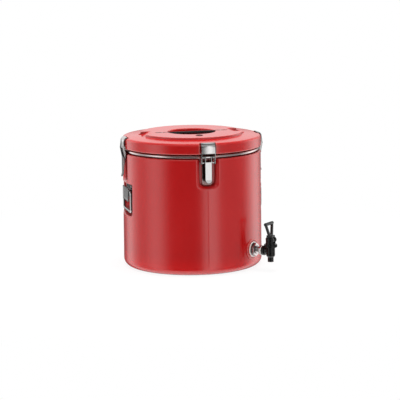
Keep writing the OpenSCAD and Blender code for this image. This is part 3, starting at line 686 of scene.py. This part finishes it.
def swept(path, radius, normal, sides=20):
    """Points and quads of a closed rod that follows a flat ring of points."""
    points = []
    count = len(path)
    for i, here in enumerate(path):
        ahead = (path[(i + 1) % count] - path[i - 1]).normalized()
        across = ahead.cross(normal)
        for j in range(sides):
            a = 2 * math.pi * j / sides
            points.append(here + radius * (math.cos(a) * across + math.sin(a) * normal))
    return points, grid_faces(count, sides, True)


def islands(node):
    """The points of each separate solid of a node."""
    bm = bmesh.new()
    bm.from_mesh(frame["nodes"][node].data)
    bmesh.ops.remove_doubles(bm, verts=bm.verts, dist=TINY)
    seen = set()
    found = []
    for first in bm.verts:
        if first in seen:
            continue
        seen.add(first)
        queue, group = [first], []
        while queue:
            vert = queue.pop()
            group.append(tuple(vert.co))
            near = [edge.other_vert(vert) for edge in vert.link_edges]
            fresh = [other for other in near if other not in seen]
            seen.update(fresh)
            queue += fresh
        found.append(np.array(group))
    bm.free()
    return found


def stand_in(node, name, shape, sharp=32):
    """Shows a new shape in the place of a solid."""
    add_piece(name, shape, slot_of(node), body_of(node), [node], sharp)


def domed_rivets(node):
    """Round-headed rivets where a node has its solids, each on the side it faces."""
    rise, shank, rim = 1.4 * MM, 1.9 * MM, 0.1 * MM
    arc = [math.radians(a) for a in range(0, 91, 15)]
    rivets = []
    for solid in islands(node):
        x, y, z = solid.mean(axis=0)
        azimuth = round(math.degrees(math.atan2(x, -y)) / 90) * 90
        place = facing(azimuth, 0, z)
        local = np.array([place.inverted() @ Vector(p) for p in solid])
        top, foot = local[:, 2].max(), local[:, 2].min()
        head = local[local[:, 2] > top - rim]
        across, radius = head[:, 0].mean(), np.ptp(head[:, 0]) / 2
        path = [(radius * math.sin(a), top - rise * (1 - math.cos(a))) for a in arc]
        path += [(shank, top - rise), (shank, foot), (0, foot)]
        rivets.append(placed(turned(path, 24), place @ Matrix.Translation((across, 0, 0))))
    return joined(rivets)


def slotted_screw(radius, thick, slot, depth, foot):
    """A flat screw head with a slot, its top at z 0, on a shank that ends at foot."""
    shank, chamfer, count = radius / 2, 0.15 * MM, 17
    path = [(0, -depth), (radius, -depth), (radius, -thick), (shank, -thick), (shank, foot), (0, foot)]
    points, faces = turned(path, 32)
    reach = math.acos(slot / radius)
    arc = [reach * (2 * k / (count - 1) - 1) for k in range(count)]
    for side in (1, -1):
        start = len(points)
        for rim, z in ((radius, -depth), (radius, -chamfer), (radius - chamfer, 0)):
            points += [Vector((side * max(rim * math.cos(a), slot), rim * math.sin(a), z)) for a in arc]
        faces.append(tuple(start + 2 * count + k for k in range(count)))
        for row in (start, start + count):
            for k in range(count):
                after = (k + 1) % count
                faces.append((row + k, row + after, row + count + after, row + count + k))
    return points, faces


def on_grid(path, angles):
    """Radius and height of an outline's points, repeated over all angles."""
    r = np.array([p.x for p in path])[:, None] + 0 * angles
    z = np.array([p.y for p in path])[:, None] + 0 * angles
    return r, z


def round_points(r, angles, z):
    """Points from their radius, their angle from the front and their height."""
    return np.stack([r * np.sin(angles), -r * np.cos(angles), z], axis=-1).reshape(-1, 3)


def side_offsets(stops, radius):
    """Angles from a side's middle to half way to the next side, through the given widths."""
    angles = [math.asin(w / radius) for w in stops]
    rest = np.linspace(angles[-1], math.pi / 4, 13)[1:]
    return np.array(angles + list(rest))


def all_round(offsets):
    """The same offsets on both sides of the front, right, back and left."""
    half = np.concatenate([-offsets[:0:-1], offsets[:-1]])
    return np.concatenate([half + math.radians(a) for a in SIDES.values()])


def from_side(angles, azimuth):
    """Angles measured from one side, from -pi to pi."""
    return (angles - math.radians(azimuth) + math.pi) % (2 * math.pi) - math.pi


def widths(*ranges):
    """Evenly spaced widths in metres, from (start, stop, step) in millimetres."""
    return [w * MM for start, stop, step in ranges for w in np.arange(start, stop, step)]


class DISPENSER_OT_barrel(bpy.types.Operator):
    """Adds the moulded barrel with its pockets and the pad round the tap"""

    bl_idname = "dispenser.barrel"
    bl_label = "Barrel"
    bl_options = {"REGISTER", "UNDO"}

    def execute(self, context):
        s = context.scene.barrel_sizes
        seam_half, foot = 0.9 * MM, 25 * MM
        # Columns lie closest where the sides of the latch and handle pockets run
        stops = widths((0, 1.8, 0.6), (2, 19, 4.2), (19.5, 33, 0.9), (35, 49, 4.5), (51, 69, 1))
        angles = all_round(side_offsets(stops, s.radius))
        path = self.outline(s)
        r, z = on_grid(path, angles)
        outer = (r > s.handle_floor - 2 * MM) & (z > foot)
        made = r
        for name, azimuth in SIDES.items():
            turn = from_side(angles, azimuth)[None, :]
            made = self.sunk(s, made, z, turn, s.latch_floor, s.latch_half, s.latch_low, None, s.lip)
            if name in HANDLES:
                made = self.sunk(s, made, z, turn, s.handle_floor, s.handle_half, s.handle_low,
                                 s.handle_high, s.handle_lip)
            else:
                ridge = np.exp(-((r * turn / seam_half) ** 2))
                made = made + s.seam * ridge * (z < s.latch_low - s.lip - 3 * MM) * (z > s.base_round)
        made = np.where(outer, made, r)
        shape = round_points(made, angles, z), grid_faces(len(path), len(angles), True)
        add_piece("barrel_skin", shape, "red_shell", "barrel", ["outer_shell"])
        self.add_pad(context.scene.tap_sizes)
        return {"FINISHED"}

    def outline(self, s):
        """Outer face from the plug hole to the rim, then back down a plain inner face."""
        hole, wall, inner = 18 * MM, 8 * MM, 168 * MM
        corners = [
            (hole, s.hollow_depth, 0),
            (s.hollow_radius, s.hollow_depth, 1 * MM),
            (s.hollow_radius, 0, 1.2 * MM),
            (s.radius, 0, s.base_round),
            (s.top_radius, SHELL_TOP, s.rim_round),
            (s.mouth_radius, SHELL_TOP, 0),
            (s.mouth_radius, SHELL_TOP - wall / 2, 0),
            (inner, SHELL_TOP - wall, 0),
            (inner, 1.5 * wall, 0),
            (hole, wall, 0),
        ]
        # Rows of the long side lie closest where the pockets end
        stops = widths((30, 136, 10), (138, 158, 1), (164, 222, 8), (228, 250, 1), (254, 308, 7))
        path = rounded(corners, 8)
        rows = []
        for a, b in zip(path, path[1:]):
            rows.append(a)
            if a.x > inner and b.x > inner and b.y - a.y > 100 * MM:
                rows += [a.lerp(b, (z - a.y) / (b.y - a.y)) for z in stops]
        return rows + [path[-1]]

    def sunk(self, s, r, z, turn, floor, half, low, high, lip):
        """The radius r where a pocket is sunk into the barrel's side."""
        foot_corner, head_corner, floor_round = 16 * MM, 6 * MM, 1.2 * MM
        head_lip, head_slope = 1.2 * MM, 3
        across = r * np.sin(turn)
        edge = soft_min(half + lip - np.abs(across), z - low + lip, foot_corner)
        if high is not None:
            edge = soft_min(edge, (high + head_lip - z) * head_slope, head_corner)
        wall = r - lip - floor
        depth = soft_ramp(edge, s.lip_round) + wall * smooth_step(lip - 0.6 * MM, lip + 1.4 * MM, edge)
        sunk = soft_max(floor / np.maximum(np.cos(turn), 0.5), r - depth, floor_round)
        return np.where(np.abs(turn) < 1, np.minimum(r, sunk), r)

    def add_pad(self, s):
        """A round pad with a groove near its edge, for the tap's clamp nut."""
        face, groove, back, bore = s.pad_face, 0.9 * MM, s.pad_face - 9 * MM, 11 * MM
        path = rounded([
            (bore, back, 0),
            (s.pad_radius + 0.8 * MM, back, 0),
            (s.pad_radius, face, 1.4 * MM),
            (s.pad_radius - 3.2 * MM, face, 0.5 * MM),
            (s.pad_radius - 3.6 * MM, face - groove, 0.3 * MM),
            (s.pad_radius - 4.8 * MM, face - groove, 0.3 * MM),
            (s.pad_radius - 5.2 * MM, face, 0.5 * MM),
            (bore, face, 0),
        ], 4)
        place = facing(TAP_AZIMUTH, 0, s.height)
        add_piece("tap_pad", placed(turned(path, 72), place), "red_shell", "barrel")


class DISPENSER_OT_lid(bpy.types.Operator):
    """Adds the moulded lid with its raised disc, recess, scoops and latch notches"""

    bl_idname = "dispenser.lid"
    bl_label = "Lid"
    bl_options = {"REGISTER", "UNDO"}

    def execute(self, context):
        s = context.scene.lid_sizes
        path = self.outline(s)
        angles = np.array([all_round(self.columns(s, p.x)) for p in path])
        r, z = on_grid(path, angles)
        z = self.hollowed(s, r * np.sin(angles), -r * np.cos(angles), r, z)
        for azimuth in SIDES.values():
            r, z = self.notched(s, from_side(angles, azimuth), r, z)
        shape = round_points(r, angles, z), grid_faces(len(path), angles.shape[1], False)
        add_piece("lid_skin", shape, "red_shell", "lid", ["lid_shell"])
        keep("lid_foam", "lid_liner", "lid_gasket", "vent_tube")
        eased("grip_bar", 0.7 * MM)
        self.add_screws()
        self.add_vent()
        return {"FINISHED"}

    def outline(self, s):
        """From the underside over the skirt, shoulder and disc to the middle of the recess."""
        inner, roof = 176.4 * MM, LID_FOOT + 3.5 * MM
        corners = [
            (140 * MM, roof, 0),
            (inner, roof, 0),
            (inner, LID_FOOT, 0.4 * MM),
            (s.radius, LID_FOOT, 1.5 * MM),
            (s.radius, s.edge_z, s.shoulder),
            (s.disc_radius, s.disc_z, 2.2 * MM),
            (s.disc_radius - 1.5 * MM, LID_TOP, 2.0 * MM),
            (s.recess_radius, LID_TOP, 2.5 * MM),
            (s.recess_radius - 0.6 * MM, s.recess_z, 4 * MM),
            (0, s.recess_z, 0),
        ]
        path = spaced(rounded(corners, 7), 4 * MM)
        # Rows lie closest between the notch's channel and its ledge
        ledge, channel, shoulder = s.ledge - 2 * MM, s.channel + 1 * MM, s.edge_z - 6 * MM
        near = [p for p in path if not (ledge < p.x < channel and p.y > shoulder)]
        start = next(i for i, p in enumerate(near) if p.x < ledge and p.y > s.edge_z)
        dense = [near[start - 1].lerp(near[start], t) for t in np.linspace(0, 1, 16)[1:-1]]
        return near[:start] + dense + near[start:]

    def columns(self, s, r):
        """Column angles on the ring of radius r, so that columns run along slots, notches and scoops."""
        edges = []
        for half in (s.slot_half, s.notch_half, s.scoop_half):
            edges += [half + d * MM for d in (-0.8, -0.4, 0, 0.4, 0.8, 1.2)]
        stops = widths((0, 3, 1.5), (8, 20, 3), (25, 30, 3)) + edges
        return side_offsets(sorted(stops), max(r, s.recess_radius))

    def within(self, half, distance):
        """1 inside a half width and 0 outside, with a soft edge."""
        soft = 0.8 * MM
        return 1 - smooth_step(half - soft / 2, half + soft, np.abs(distance))

    def hollowed(self, s, x, y, r, z):
        """The height z where the grip bar's slots and the finger scoops are sunk into the disc."""
        soft = 0.8 * MM
        slot = self.within(s.slot_half, y)
        slot = slot * (1 - smooth_step(s.slot_end - soft, s.slot_end + soft, np.abs(x)))
        slot = slot * (r > s.recess_radius - 2 * MM)
        z = np.where(z > s.slot_z, z + slot * (np.minimum(z, s.slot_z) - z), z)
        fall = s.scoop_depth / (s.disc_radius - s.scoop_start)
        plane = LID_TOP - (np.abs(x) - s.scoop_start) * fall
        scoop = self.within(s.scoop_half, y)
        scoop = scoop * (np.abs(x) > s.scoop_start - 6 * MM) * (np.abs(x) < s.disc_radius + 1 * MM)
        return z + scoop * (soft_min(z, plane, 1.5 * MM) - z)

    def notched(self, s, turn, r, z):
        """Radius and height where a latch's notch and the ledge under its hook are cut."""
        out, across = r * np.cos(turn), r * np.sin(turn)
        notch = self.within(s.notch_half, across) * (np.abs(turn) < 1) * (z > LID_FOOT - 1 * MM)
        on_ledge = smooth_step(s.ledge - 0.5 * MM, s.ledge + 0.8 * MM, out)
        z = z + notch * on_ledge * (soft_min(z, s.ledge_z + 0 * z, 1 * MM) - z)
        wall = np.minimum(out, s.channel) / np.maximum(np.cos(turn), 0.5)
        return r + notch * (wall - r) * (out > s.ledge), z

    def add_screws(self):
        """Slotted screws, turned a little, where the grip bar has its screws."""
        thick, slot_half, slot_depth, rim, turn = 1.5 * MM, 0.45 * MM, 0.9 * MM, 0.1 * MM, 0.6
        screws = []
        for solid in islands("grip_screws"):
            top, foot = solid[:, 2].max(), solid[:, 2].min()
            head = solid[solid[:, 2] > top - rim]
            screw = slotted_screw(np.ptp(head[:, 0]) / 2, thick, slot_half, slot_depth, foot - top)
            place = Matrix.Translation((head[:, 0].mean(), head[:, 1].mean(), top))
            screws.append(placed(screw, place @ Matrix.Rotation(turn, 4, "Z")))
        stand_in("grip_screws", "grip_screws_slotted", joined(screws))

    def add_vent(self):
        """A scalloped cap with a dished top."""
        low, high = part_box("vent_cap")
        radius, tall = (high.x - low.x) / 2, high.z - low.z
        rim, dish, scallop, scallops = radius - 1.4 * MM, 0.8 * MM, 0.5 * MM, 12
        path = rounded([
            (0, 0, 0),
            (radius, 0, 0.3 * MM),
            (radius, tall, 1.1 * MM),
            (rim - 1.6 * MM, tall, 0.5 * MM),
            (rim - 1.6 * MM - dish, tall - dish, 0.5 * MM),
            (0, tall - dish, 0),
        ], 5)

        def scalloped(r, z, a):
            return r - (scallop * max(0, math.cos(scallops * a)) if r > rim else 0)

        place = Matrix.Translation(((low.x + high.x) / 2, (low.y + high.y) / 2, low.z))
        stand_in("vent_cap", "vent_cap_scalloped", placed(turned(path, 144, scalloped), place))


class DISPENSER_OT_inside(bpy.types.Operator):
    """Finishes the vessel, its insulation and the steel rim"""

    bl_idname = "dispenser.inside"
    bl_label = "Vessel and rim"
    bl_options = {"REGISTER", "UNDO"}

    def execute(self, context):
        keep("inner_vessel", "insulation_foam", "foam_plug")
        keep("rim_ring", finish="rim_steel")
        return {"FINISHED"}


class DISPENSER_OT_latches(bpy.types.Operator):
    """Adds the toggle latches"""

    bl_idname = "dispenser.latches"
    bl_label = "Latches"
    bl_options = {"REGISTER", "UNDO"}

    def execute(self, context):
        s = context.scene.metal_sizes
        for side, azimuth in SIDES.items():
            eased(f"latch_base_{side}", s.sheet_round, finish="base_steel")
            eased(f"latch_lever_{side}", s.sheet_round)
            eased(f"latch_claw_{side}", s.sheet_round, reshape=self.bow(s, azimuth))
            keep(f"latch_link_{side}")
        eased("latch_pivots", s.sheet_round)
        stand_in("latch_rivets", "latch_rivets_domed", domed_rivets("latch_rivets"))
        return {"FINISHED"}

    def bow(self, s, azimuth):
        """Bows a claw's plate above its arms, so that it follows the lid's side."""
        out, across = outward(azimuth, 1), outward(azimuth + 90, 1)
        hook, plate = 186 * MM, 192 * MM
        arms, foot = 328 * MM, 333 * MM

        def reshape(bm):
            for w in widths((-15, 16, 3)):
                every = bm.verts[:] + bm.edges[:] + bm.faces[:]
                bmesh.ops.bisect_plane(bm, geom=every, plane_co=across * w, plane_no=across)
            for vert in bm.verts:
                w = vert.co.dot(across)
                part = smooth_step(hook, plate, vert.co.dot(out)) * smooth_step(arms, foot, vert.co.z)
                vert.co -= out * (w * w / (2 * s.claw_bow) * float(part))
        return reshape


class DISPENSER_OT_handles(bpy.types.Operator):
    """Adds the drop handles"""

    bl_idname = "dispenser.handles"
    bl_label = "Handles"
    bl_options = {"REGISTER", "UNDO"}

    def execute(self, context):
        s = context.scene.metal_sizes
        half, low, high, bend = s.bail_half, s.bail_z - s.bail_length, s.bail_z, s.bail_bend
        middle = (0, low, 0)
        corners = [(half, low, bend), (half, high, bend), (-half, high, bend), (-half, low, bend)]
        flat = spaced(rounded([middle] + corners + [middle], 10), 12 * MM)[:-1]
        for side in HANDLES:
            azimuth = SIDES[side]
            place = facing(azimuth, s.bail_reach, 0)
            path = [place @ Vector((p.x, p.y, 0)) for p in flat]
            rod = swept(path, s.bail_radius, outward(azimuth, 1))
            stand_in(f"handle_bail_{side}", f"bail_{side}_rod", rod)
            eased(f"handle_bracket_{side}", s.sheet_round, reshape=self.press(s, azimuth))
        stand_in("handle_rivets", "handle_rivets_domed", domed_rivets("handle_rivets"))
        return {"FINISHED"}

    def press(self, s, azimuth):
        """Rounds the corners of a bracket's cover plate and presses a panel into it."""
        out = outward(azimuth, 1)
        front = s.bail_reach + s.bail_radius

        def reshape(bm):
            corners = []
            for edge in bm.edges:
                first, last = (v.co for v in edge.verts)
                along = abs((last - first).normalized().dot(out)) > 0.99
                if along and min(first.dot(out), last.dot(out)) > front and edge.calc_face_angle(0) > 1:
                    corners.append(edge)
            bmesh.ops.bevel(bm, geom=corners, offset=s.plate_round, offset_type="OFFSET", segments=6,
                            profile=0.5, affect="EDGES")
            flat = [f for f in bm.faces if f.normal.dot(out) > 0.99]
            cover = max(flat, key=lambda f: f.calc_area())
            bmesh.ops.inset_individual(bm, faces=[cover], thickness=s.plate_border, depth=0)
            bmesh.ops.inset_individual(bm, faces=[cover], thickness=s.plate_press, depth=-s.plate_press)
        return reshape


class DISPENSER_OT_tap(bpy.types.Operator):
    """Adds the tap and its threaded nipple"""

    bl_idname = "dispenser.tap"
    bl_label = "Tap"
    bl_options = {"REGISTER", "UNDO"}

    def execute(self, context):
        s = context.scene.tap_sizes
        for node in ("tap_body", "tap_bonnet"):
            eased(node, s.edge_round)
        eased("tap_lever", s.edge_round, reshape=self.open_loop(s))
        inlet = facing(TAP_AZIMUTH, 0, s.height)
        for node in ("tap_clamp_nut", "tap_lock_nut", "tap_inner_nut"):
            stand_in(node, node + "_hex", placed(self.nut(*self.extent(node, inlet)), inlet), 20)
        for node in ("tap_outer_seal", "tap_washer", "tap_inner_seal", "tap_gasket"):
            bore, reach, low, high = self.extent(node, inlet)
            edge = 0.5 * MM
            corners = [(bore, low, 0), (reach, low, edge), (reach, high, edge), (bore, high, 0)]
            stand_in(node, node + "_ring", placed(turned(rounded(corners, 4), 72), inlet))
        start, stop = self.extent("tap_clamp_nut", inlet)[3], self.extent("tap_lock_nut", inlet)[2]
        thread = self.thread(context.scene.metal_sizes, *self.extent("tap_nipple", inlet), start, stop)
        stand_in("tap_nipple", "tap_nipple_thread", placed(thread, inlet), 50)
        self.add_grip(s)
        self.add_spring(s)
        keep("tap_stem", "tap_seat_cup", "tap_pivot_pin")
        return {"FINISHED"}

    def open_loop(self, s):
        """Thins the legs of the lever's loop towards the window between them."""
        across = outward(TAP_AZIMUTH + 90, 1)
        near, sill_height, head_rise = 0.5 * MM, 2 * MM, 20 * MM

        def reshape(bm):
            for vert in bm.verts:
                w = vert.co.dot(across)
                rise = vert.co.z - s.window_z
                at_sill = abs(w) < s.window_sill + near and abs(rise) < sill_height
                at_head = abs(w) < s.window_head + near and rise > head_rise
                if at_sill or at_head:
                    vert.co += across * math.copysign(s.window_gain, w)
                if at_sill:
                    vert.co.z -= s.window_gain
        return reshape

    def extent(self, node, place):
        """Bore, outer radius and both ends of a turned solid along an axis."""
        back = place.inverted()
        local = np.array([back @ v.co for v in frame["nodes"][node].data.vertices])
        r = np.hypot(local[:, 0], local[:, 1])
        return r.min(), r.max(), local[:, 2].min(), local[:, 2].max()

    def nut(self, bore, reach, low, high):
        """A hexagon nut with both faces chamfered."""
        flat, steps = reach * math.cos(math.pi / 6), 5
        start = flat * 0.97
        chamfer = (reach - start) / math.sqrt(3)
        lower = [(start + (reach - start) * k / steps, low + chamfer * k / steps)
                 for k in range(steps + 1)]
        upper = [(r, low + high - z) for r, z in reversed(lower)]

        def six_sided(r, z, a):
            return min(r, flat / math.cos((a + math.pi / 6) % (math.pi / 3) - math.pi / 6))

        return turned([(bore, low)] + lower + upper + [(bore, high)], 96, six_sided)

    def thread(self, s, bore, reach, low, high, start, stop):
        """A tube with a helical thread between start and stop."""
        rows = np.arange(start, stop, s.thread_pitch / 8)
        path = [(bore, low), (reach, low)] + [(reach, z) for z in rows]
        path += [(reach, stop), (reach, high), (bore, high)]

        def cut(r, z, a):
            if r < reach or not start < z < stop:
                return r
            phase = 2 * math.pi * (z - start) / s.thread_pitch - a
            return r - s.thread_depth * (0.5 - 0.5 * math.cos(phase))

        return turned(path, 48, cut)

    def add_grip(self, s):
        """Ribs round the bonnet's ring, so that it can be unscrewed by hand."""
        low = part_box("tap_bonnet")[0].z + 1 * MM
        high, reach = low + 6 * MM, s.bonnet_radius
        inner, bevel, rib, ribs = reach - 0.6 * MM, 0.7 * MM, 0.55 * MM, 36
        path = [(inner, low), (reach, low + bevel), (reach, high - bevel), (inner, high)]

        def ribbed(r, z, a):
            return r + (rib * max(0, math.cos(ribs * a)) ** 0.5 if r > inner else 0)

        place = Matrix.Translation(outward(TAP_AZIMUTH, s.axis))
        shape = placed(turned(path, 288, ribbed), place)
        add_piece("tap_bonnet_ribs", shape, slot_of("tap_bonnet"), body_of("tap_bonnet"))

    def add_spring(self, s):
        """The return spring, a fixed copy of its solid on no body; on the real tap the stem presses it
        together as it lifts.
        """
        node = "tap_spring"
        wire = bpy.data.objects.new("tap_spring_wire", frame["nodes"][node].data.copy())
        dress(wire, slot_of(node), None, [node])
        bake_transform(wire)


class DISPENSER_OT_stage(bpy.types.Operator):
    """Adds the floor, the lamps, the white surroundings and the camera"""

    bl_idname = "dispenser.stage"
    bl_label = "Stage"
    bl_options = {"REGISTER", "UNDO"}

    def execute(self, context):
        scene = context.scene
        scene.view_settings.view_transform = "Standard"
        s = scene.barrel_stage
        self.add_camera(scene, s)
        self.add_world(scene, s)
        self.add_floor(scene)
        self.add_lamps(scene, s)
        return {"FINISHED"}

    def add_camera(self, scene, s):
        """A camera that shows the aim point at its column and row of the image."""
        data = bpy.data.cameras.new("camera")
        data.sensor_width = 36
        data.lens = s.focal * data.sensor_width / IMAGE_SIZE
        camera = bpy.data.objects.new("camera", data)
        scene.collection.objects.link(camera)
        back = outward(math.degrees(s.azimuth), math.cos(s.elevation), math.sin(s.elevation))
        camera.location = Vector((0, 0, s.aim_z)) + back * s.distance
        yaw = math.atan((s.aim_x - IMAGE_SIZE / 2) / s.focal)
        pitch = math.atan((s.aim_y - IMAGE_SIZE / 2) / s.focal)
        turn = Quaternion((0, 1, 0), yaw) @ Quaternion((1, 0, 0), pitch) @ Quaternion((0, 0, 1), -s.roll)
        camera.rotation_mode = "QUATERNION"
        camera.rotation_quaternion = (-back).to_track_quat("-Z", "Y") @ turn
        scene.camera = camera

    def add_world(self, scene, s):
        """White where it is seen; a studio of upright soft boxes where it is mirrored."""
        world = bpy.data.worlds.new("studio")
        scene.world = world
        f = Finish(world)
        path = "ShaderNodeLightPath"
        seen = f.add(path, output="Is Camera Ray")
        clear = f.add(path, output="Is Transmission Ray")
        mirrored = f.add(path, output="Is Glossy Ray")
        room = self.mirrored_room(f, s)
        open_white = f.add("ShaderNodeMath", {"operation": "MAXIMUM"}, {0: seen, 1: clear})
        plain = (1 - mirrored) * s.ambient + mirrored * room
        strength = open_white + (1 - open_white) * plain
        light = f.add("ShaderNodeBackground", {}, {"Color": (1, 1, 1, 1), "Strength": strength})
        f.add("ShaderNodeOutputWorld", {}, {"Surface": light})

    def mirrored_room(self, f, s):
        """Brightness of the studio by direction: soft boxes all round, sky above and floor below."""
        sky_ahead, sky_right = 0.08, 0.75
        # Parts of the unit direction over which one area of the room fades into the next
        box_tops, horizon, behind, right = (0.35, 0.65), (0.0, 0.12), (-0.5, 0.1), (-0.1, 0.4)
        over_low, over_high, over_back, floor = (0.3, 0.45), (0.8, 0.95), (0.05, 0.3), (-0.9, -0.5)
        where = f.add("ShaderNodeTexCoord", output="Generated")
        height = f.add("ShaderNodeSeparateXYZ", {}, {0: where}, output="Z")
        camera = math.degrees(s.azimuth)
        ahead, aside = (
            f.add("ShaderNodeVectorMath", {"operation": "DOT_PRODUCT"},
                  {0: where, 1: tuple(outward(azimuth, 1))}, output="Value")
            for azimuth in (camera, camera + 90))
        turn = f.add("ShaderNodeMath", {"operation": "ARCTAN2"}, {0: aside, 1: ahead})
        top = max(value for _, value in SOFT_BOXES)
        stops = [(0.5 + degrees / 360, value / top) for degrees, value in SOFT_BOXES]
        boxes = f.ramp(turn * (0.5 / math.pi) + 0.5, stops) * top
        boxes = boxes * f.between(height, *box_tops, 1, 0)
        sky = f.between(ahead, *behind, s.sky, sky_ahead) * f.between(height, *horizon)
        sky = sky * f.between(aside, *right, 1, sky_right)
        band = f.between(height, *over_low) * f.between(height, *over_high, 1, 0)
        sky = sky + band * f.between(ahead, *over_back) * s.overhead
        room = f.add("ShaderNodeMath", {"operation": "MAXIMUM"}, {0: boxes, 1: sky})
        ground = f.between(height, *floor, 1, 0)
        return room * (1 - ground) + ground * s.ground

    def add_floor(self, scene):
        """A pale floor that reads as white, keeps a faint shadow and isn't mirrored."""
        edge = 6.0
        # The floor is wholly white from far on; nearer, a share of it takes the shadow
        near, far, near_white = 0.25, 1.0, 0.88
        mesh = bpy.data.meshes.new("floor")
        corners = [(-edge, -edge, 0), (edge, -edge, 0), (edge, edge, 0), (-edge, edge, 0)]
        mesh.from_pydata(corners, [], [(0, 1, 2, 3)])
        floor = bpy.data.objects.new("floor", mesh)
        scene.collection.objects.link(floor)
        material = bpy.data.materials.new("floor_paper")
        f = Finish(material)
        fibre = f.noise(40, 2)
        paper = f.blend(fibre, (0.86, 0.86, 0.86, 1), (0.90, 0.90, 0.90, 1))
        matt = f.add("ShaderNodeBsdfDiffuse", {}, {"Color": paper})
        white = f.add("ShaderNodeEmission", {}, {"Color": (1, 1, 1, 1), "Strength": 1.0})
        path = "ShaderNodeLightPath"
        where = f.add("ShaderNodeTexCoord", output="Object")
        reach = f.add("ShaderNodeVectorMath", {"operation": "LENGTH"}, {0: where}, output="Value")
        seen = f.add(path, output="Is Camera Ray") * f.between(reach, near, far, near_white, 1.0)
        mixed = f.add("ShaderNodeMixShader", {}, {0: seen, 1: matt, 2: white})
        clear = f.add("ShaderNodeBsdfTransparent")
        mirrored = f.add(path, output="Is Glossy Ray")
        mixed = f.add("ShaderNodeMixShader", {}, {0: mirrored, 1: mixed, 2: clear})
        f.add("ShaderNodeOutputMaterial", {}, {"Surface": mixed})
        mesh.materials.append(material)

    def add_lamps(self, scene, s):
        """Soft lamps: azimuth from the camera, distance, height, width, length and radiance."""
        lamps = {
            "lamp_top": (0, 0.02, 2.3, 1.3, 1.3, 10.5),
            "lamp_left": (-75, 2.0, 0.6, 0.8, 1.6, 2.1),
            "lamp_right": (95, 2.0, 0.6, 0.8, 1.6, 3.3),
        }
        aim = Vector((0, 0, 0.2))
        for name, (turn, distance, height, width, tall, radiance) in lamps.items():
            data = bpy.data.lights.new(name, "AREA")
            data.shape = "RECTANGLE"
            data.size, data.size_y = width, tall
            data.energy = radiance * math.pi * width * tall
            lamp = bpy.data.objects.new(name, data)
            scene.collection.objects.link(lamp)
            lamp.location = outward(math.degrees(s.azimuth) + turn, distance, height)
            lamp.rotation_mode = "QUATERNION"
            lamp.rotation_quaternion = (aim - lamp.location).to_track_quat("-Z", "Y")
            lamp.visible_camera = False
            lamp.visible_glossy = False


OPERATORS = (
    DISPENSER_OT_stage,
    DISPENSER_OT_barrel,
    DISPENSER_OT_inside,
    DISPENSER_OT_lid,
    DISPENSER_OT_latches,
    DISPENSER_OT_handles,
    DISPENSER_OT_tap,
)


class VIEW3D_PT_dispenser(bpy.types.Panel):
    """Lists the pieces of the barrel and their settings"""

    bl_label = "Insulated drink barrel"
    bl_idname = "VIEW3D_PT_dispenser"
    bl_space_type = "VIEW_3D"
    bl_region_type = "UI"
    bl_category = "Barrel"

    def draw(self, context):
        for operator in OPERATORS:
            self.layout.operator(operator.bl_idname)
        for name in GROUPS:
            group = getattr(context.scene, name)
            box = self.layout.box()
            for key in group.__annotations__:
                box.prop(group, key)


CLASSES = (*GROUPS.values(), *OPERATORS, VIEW3D_PT_dispenser)


def register():
    for cls in CLASSES:
        bpy.utils.register_class(cls)
    for name, group in GROUPS.items():
        setattr(bpy.types.Scene, name, bpy.props.PointerProperty(type=group))


def unregister():
    for name in GROUPS:
        delattr(bpy.types.Scene, name)
    for cls in reversed(CLASSES):
        bpy.utils.unregister_class(cls)


def main():
    """Builds the stage and all pieces."""
    register()
    for operator in OPERATORS:
        group, name = operator.bl_idname.split(".")
        getattr(getattr(bpy.ops, group), name)()


if __name__ == "__main__":
    main()
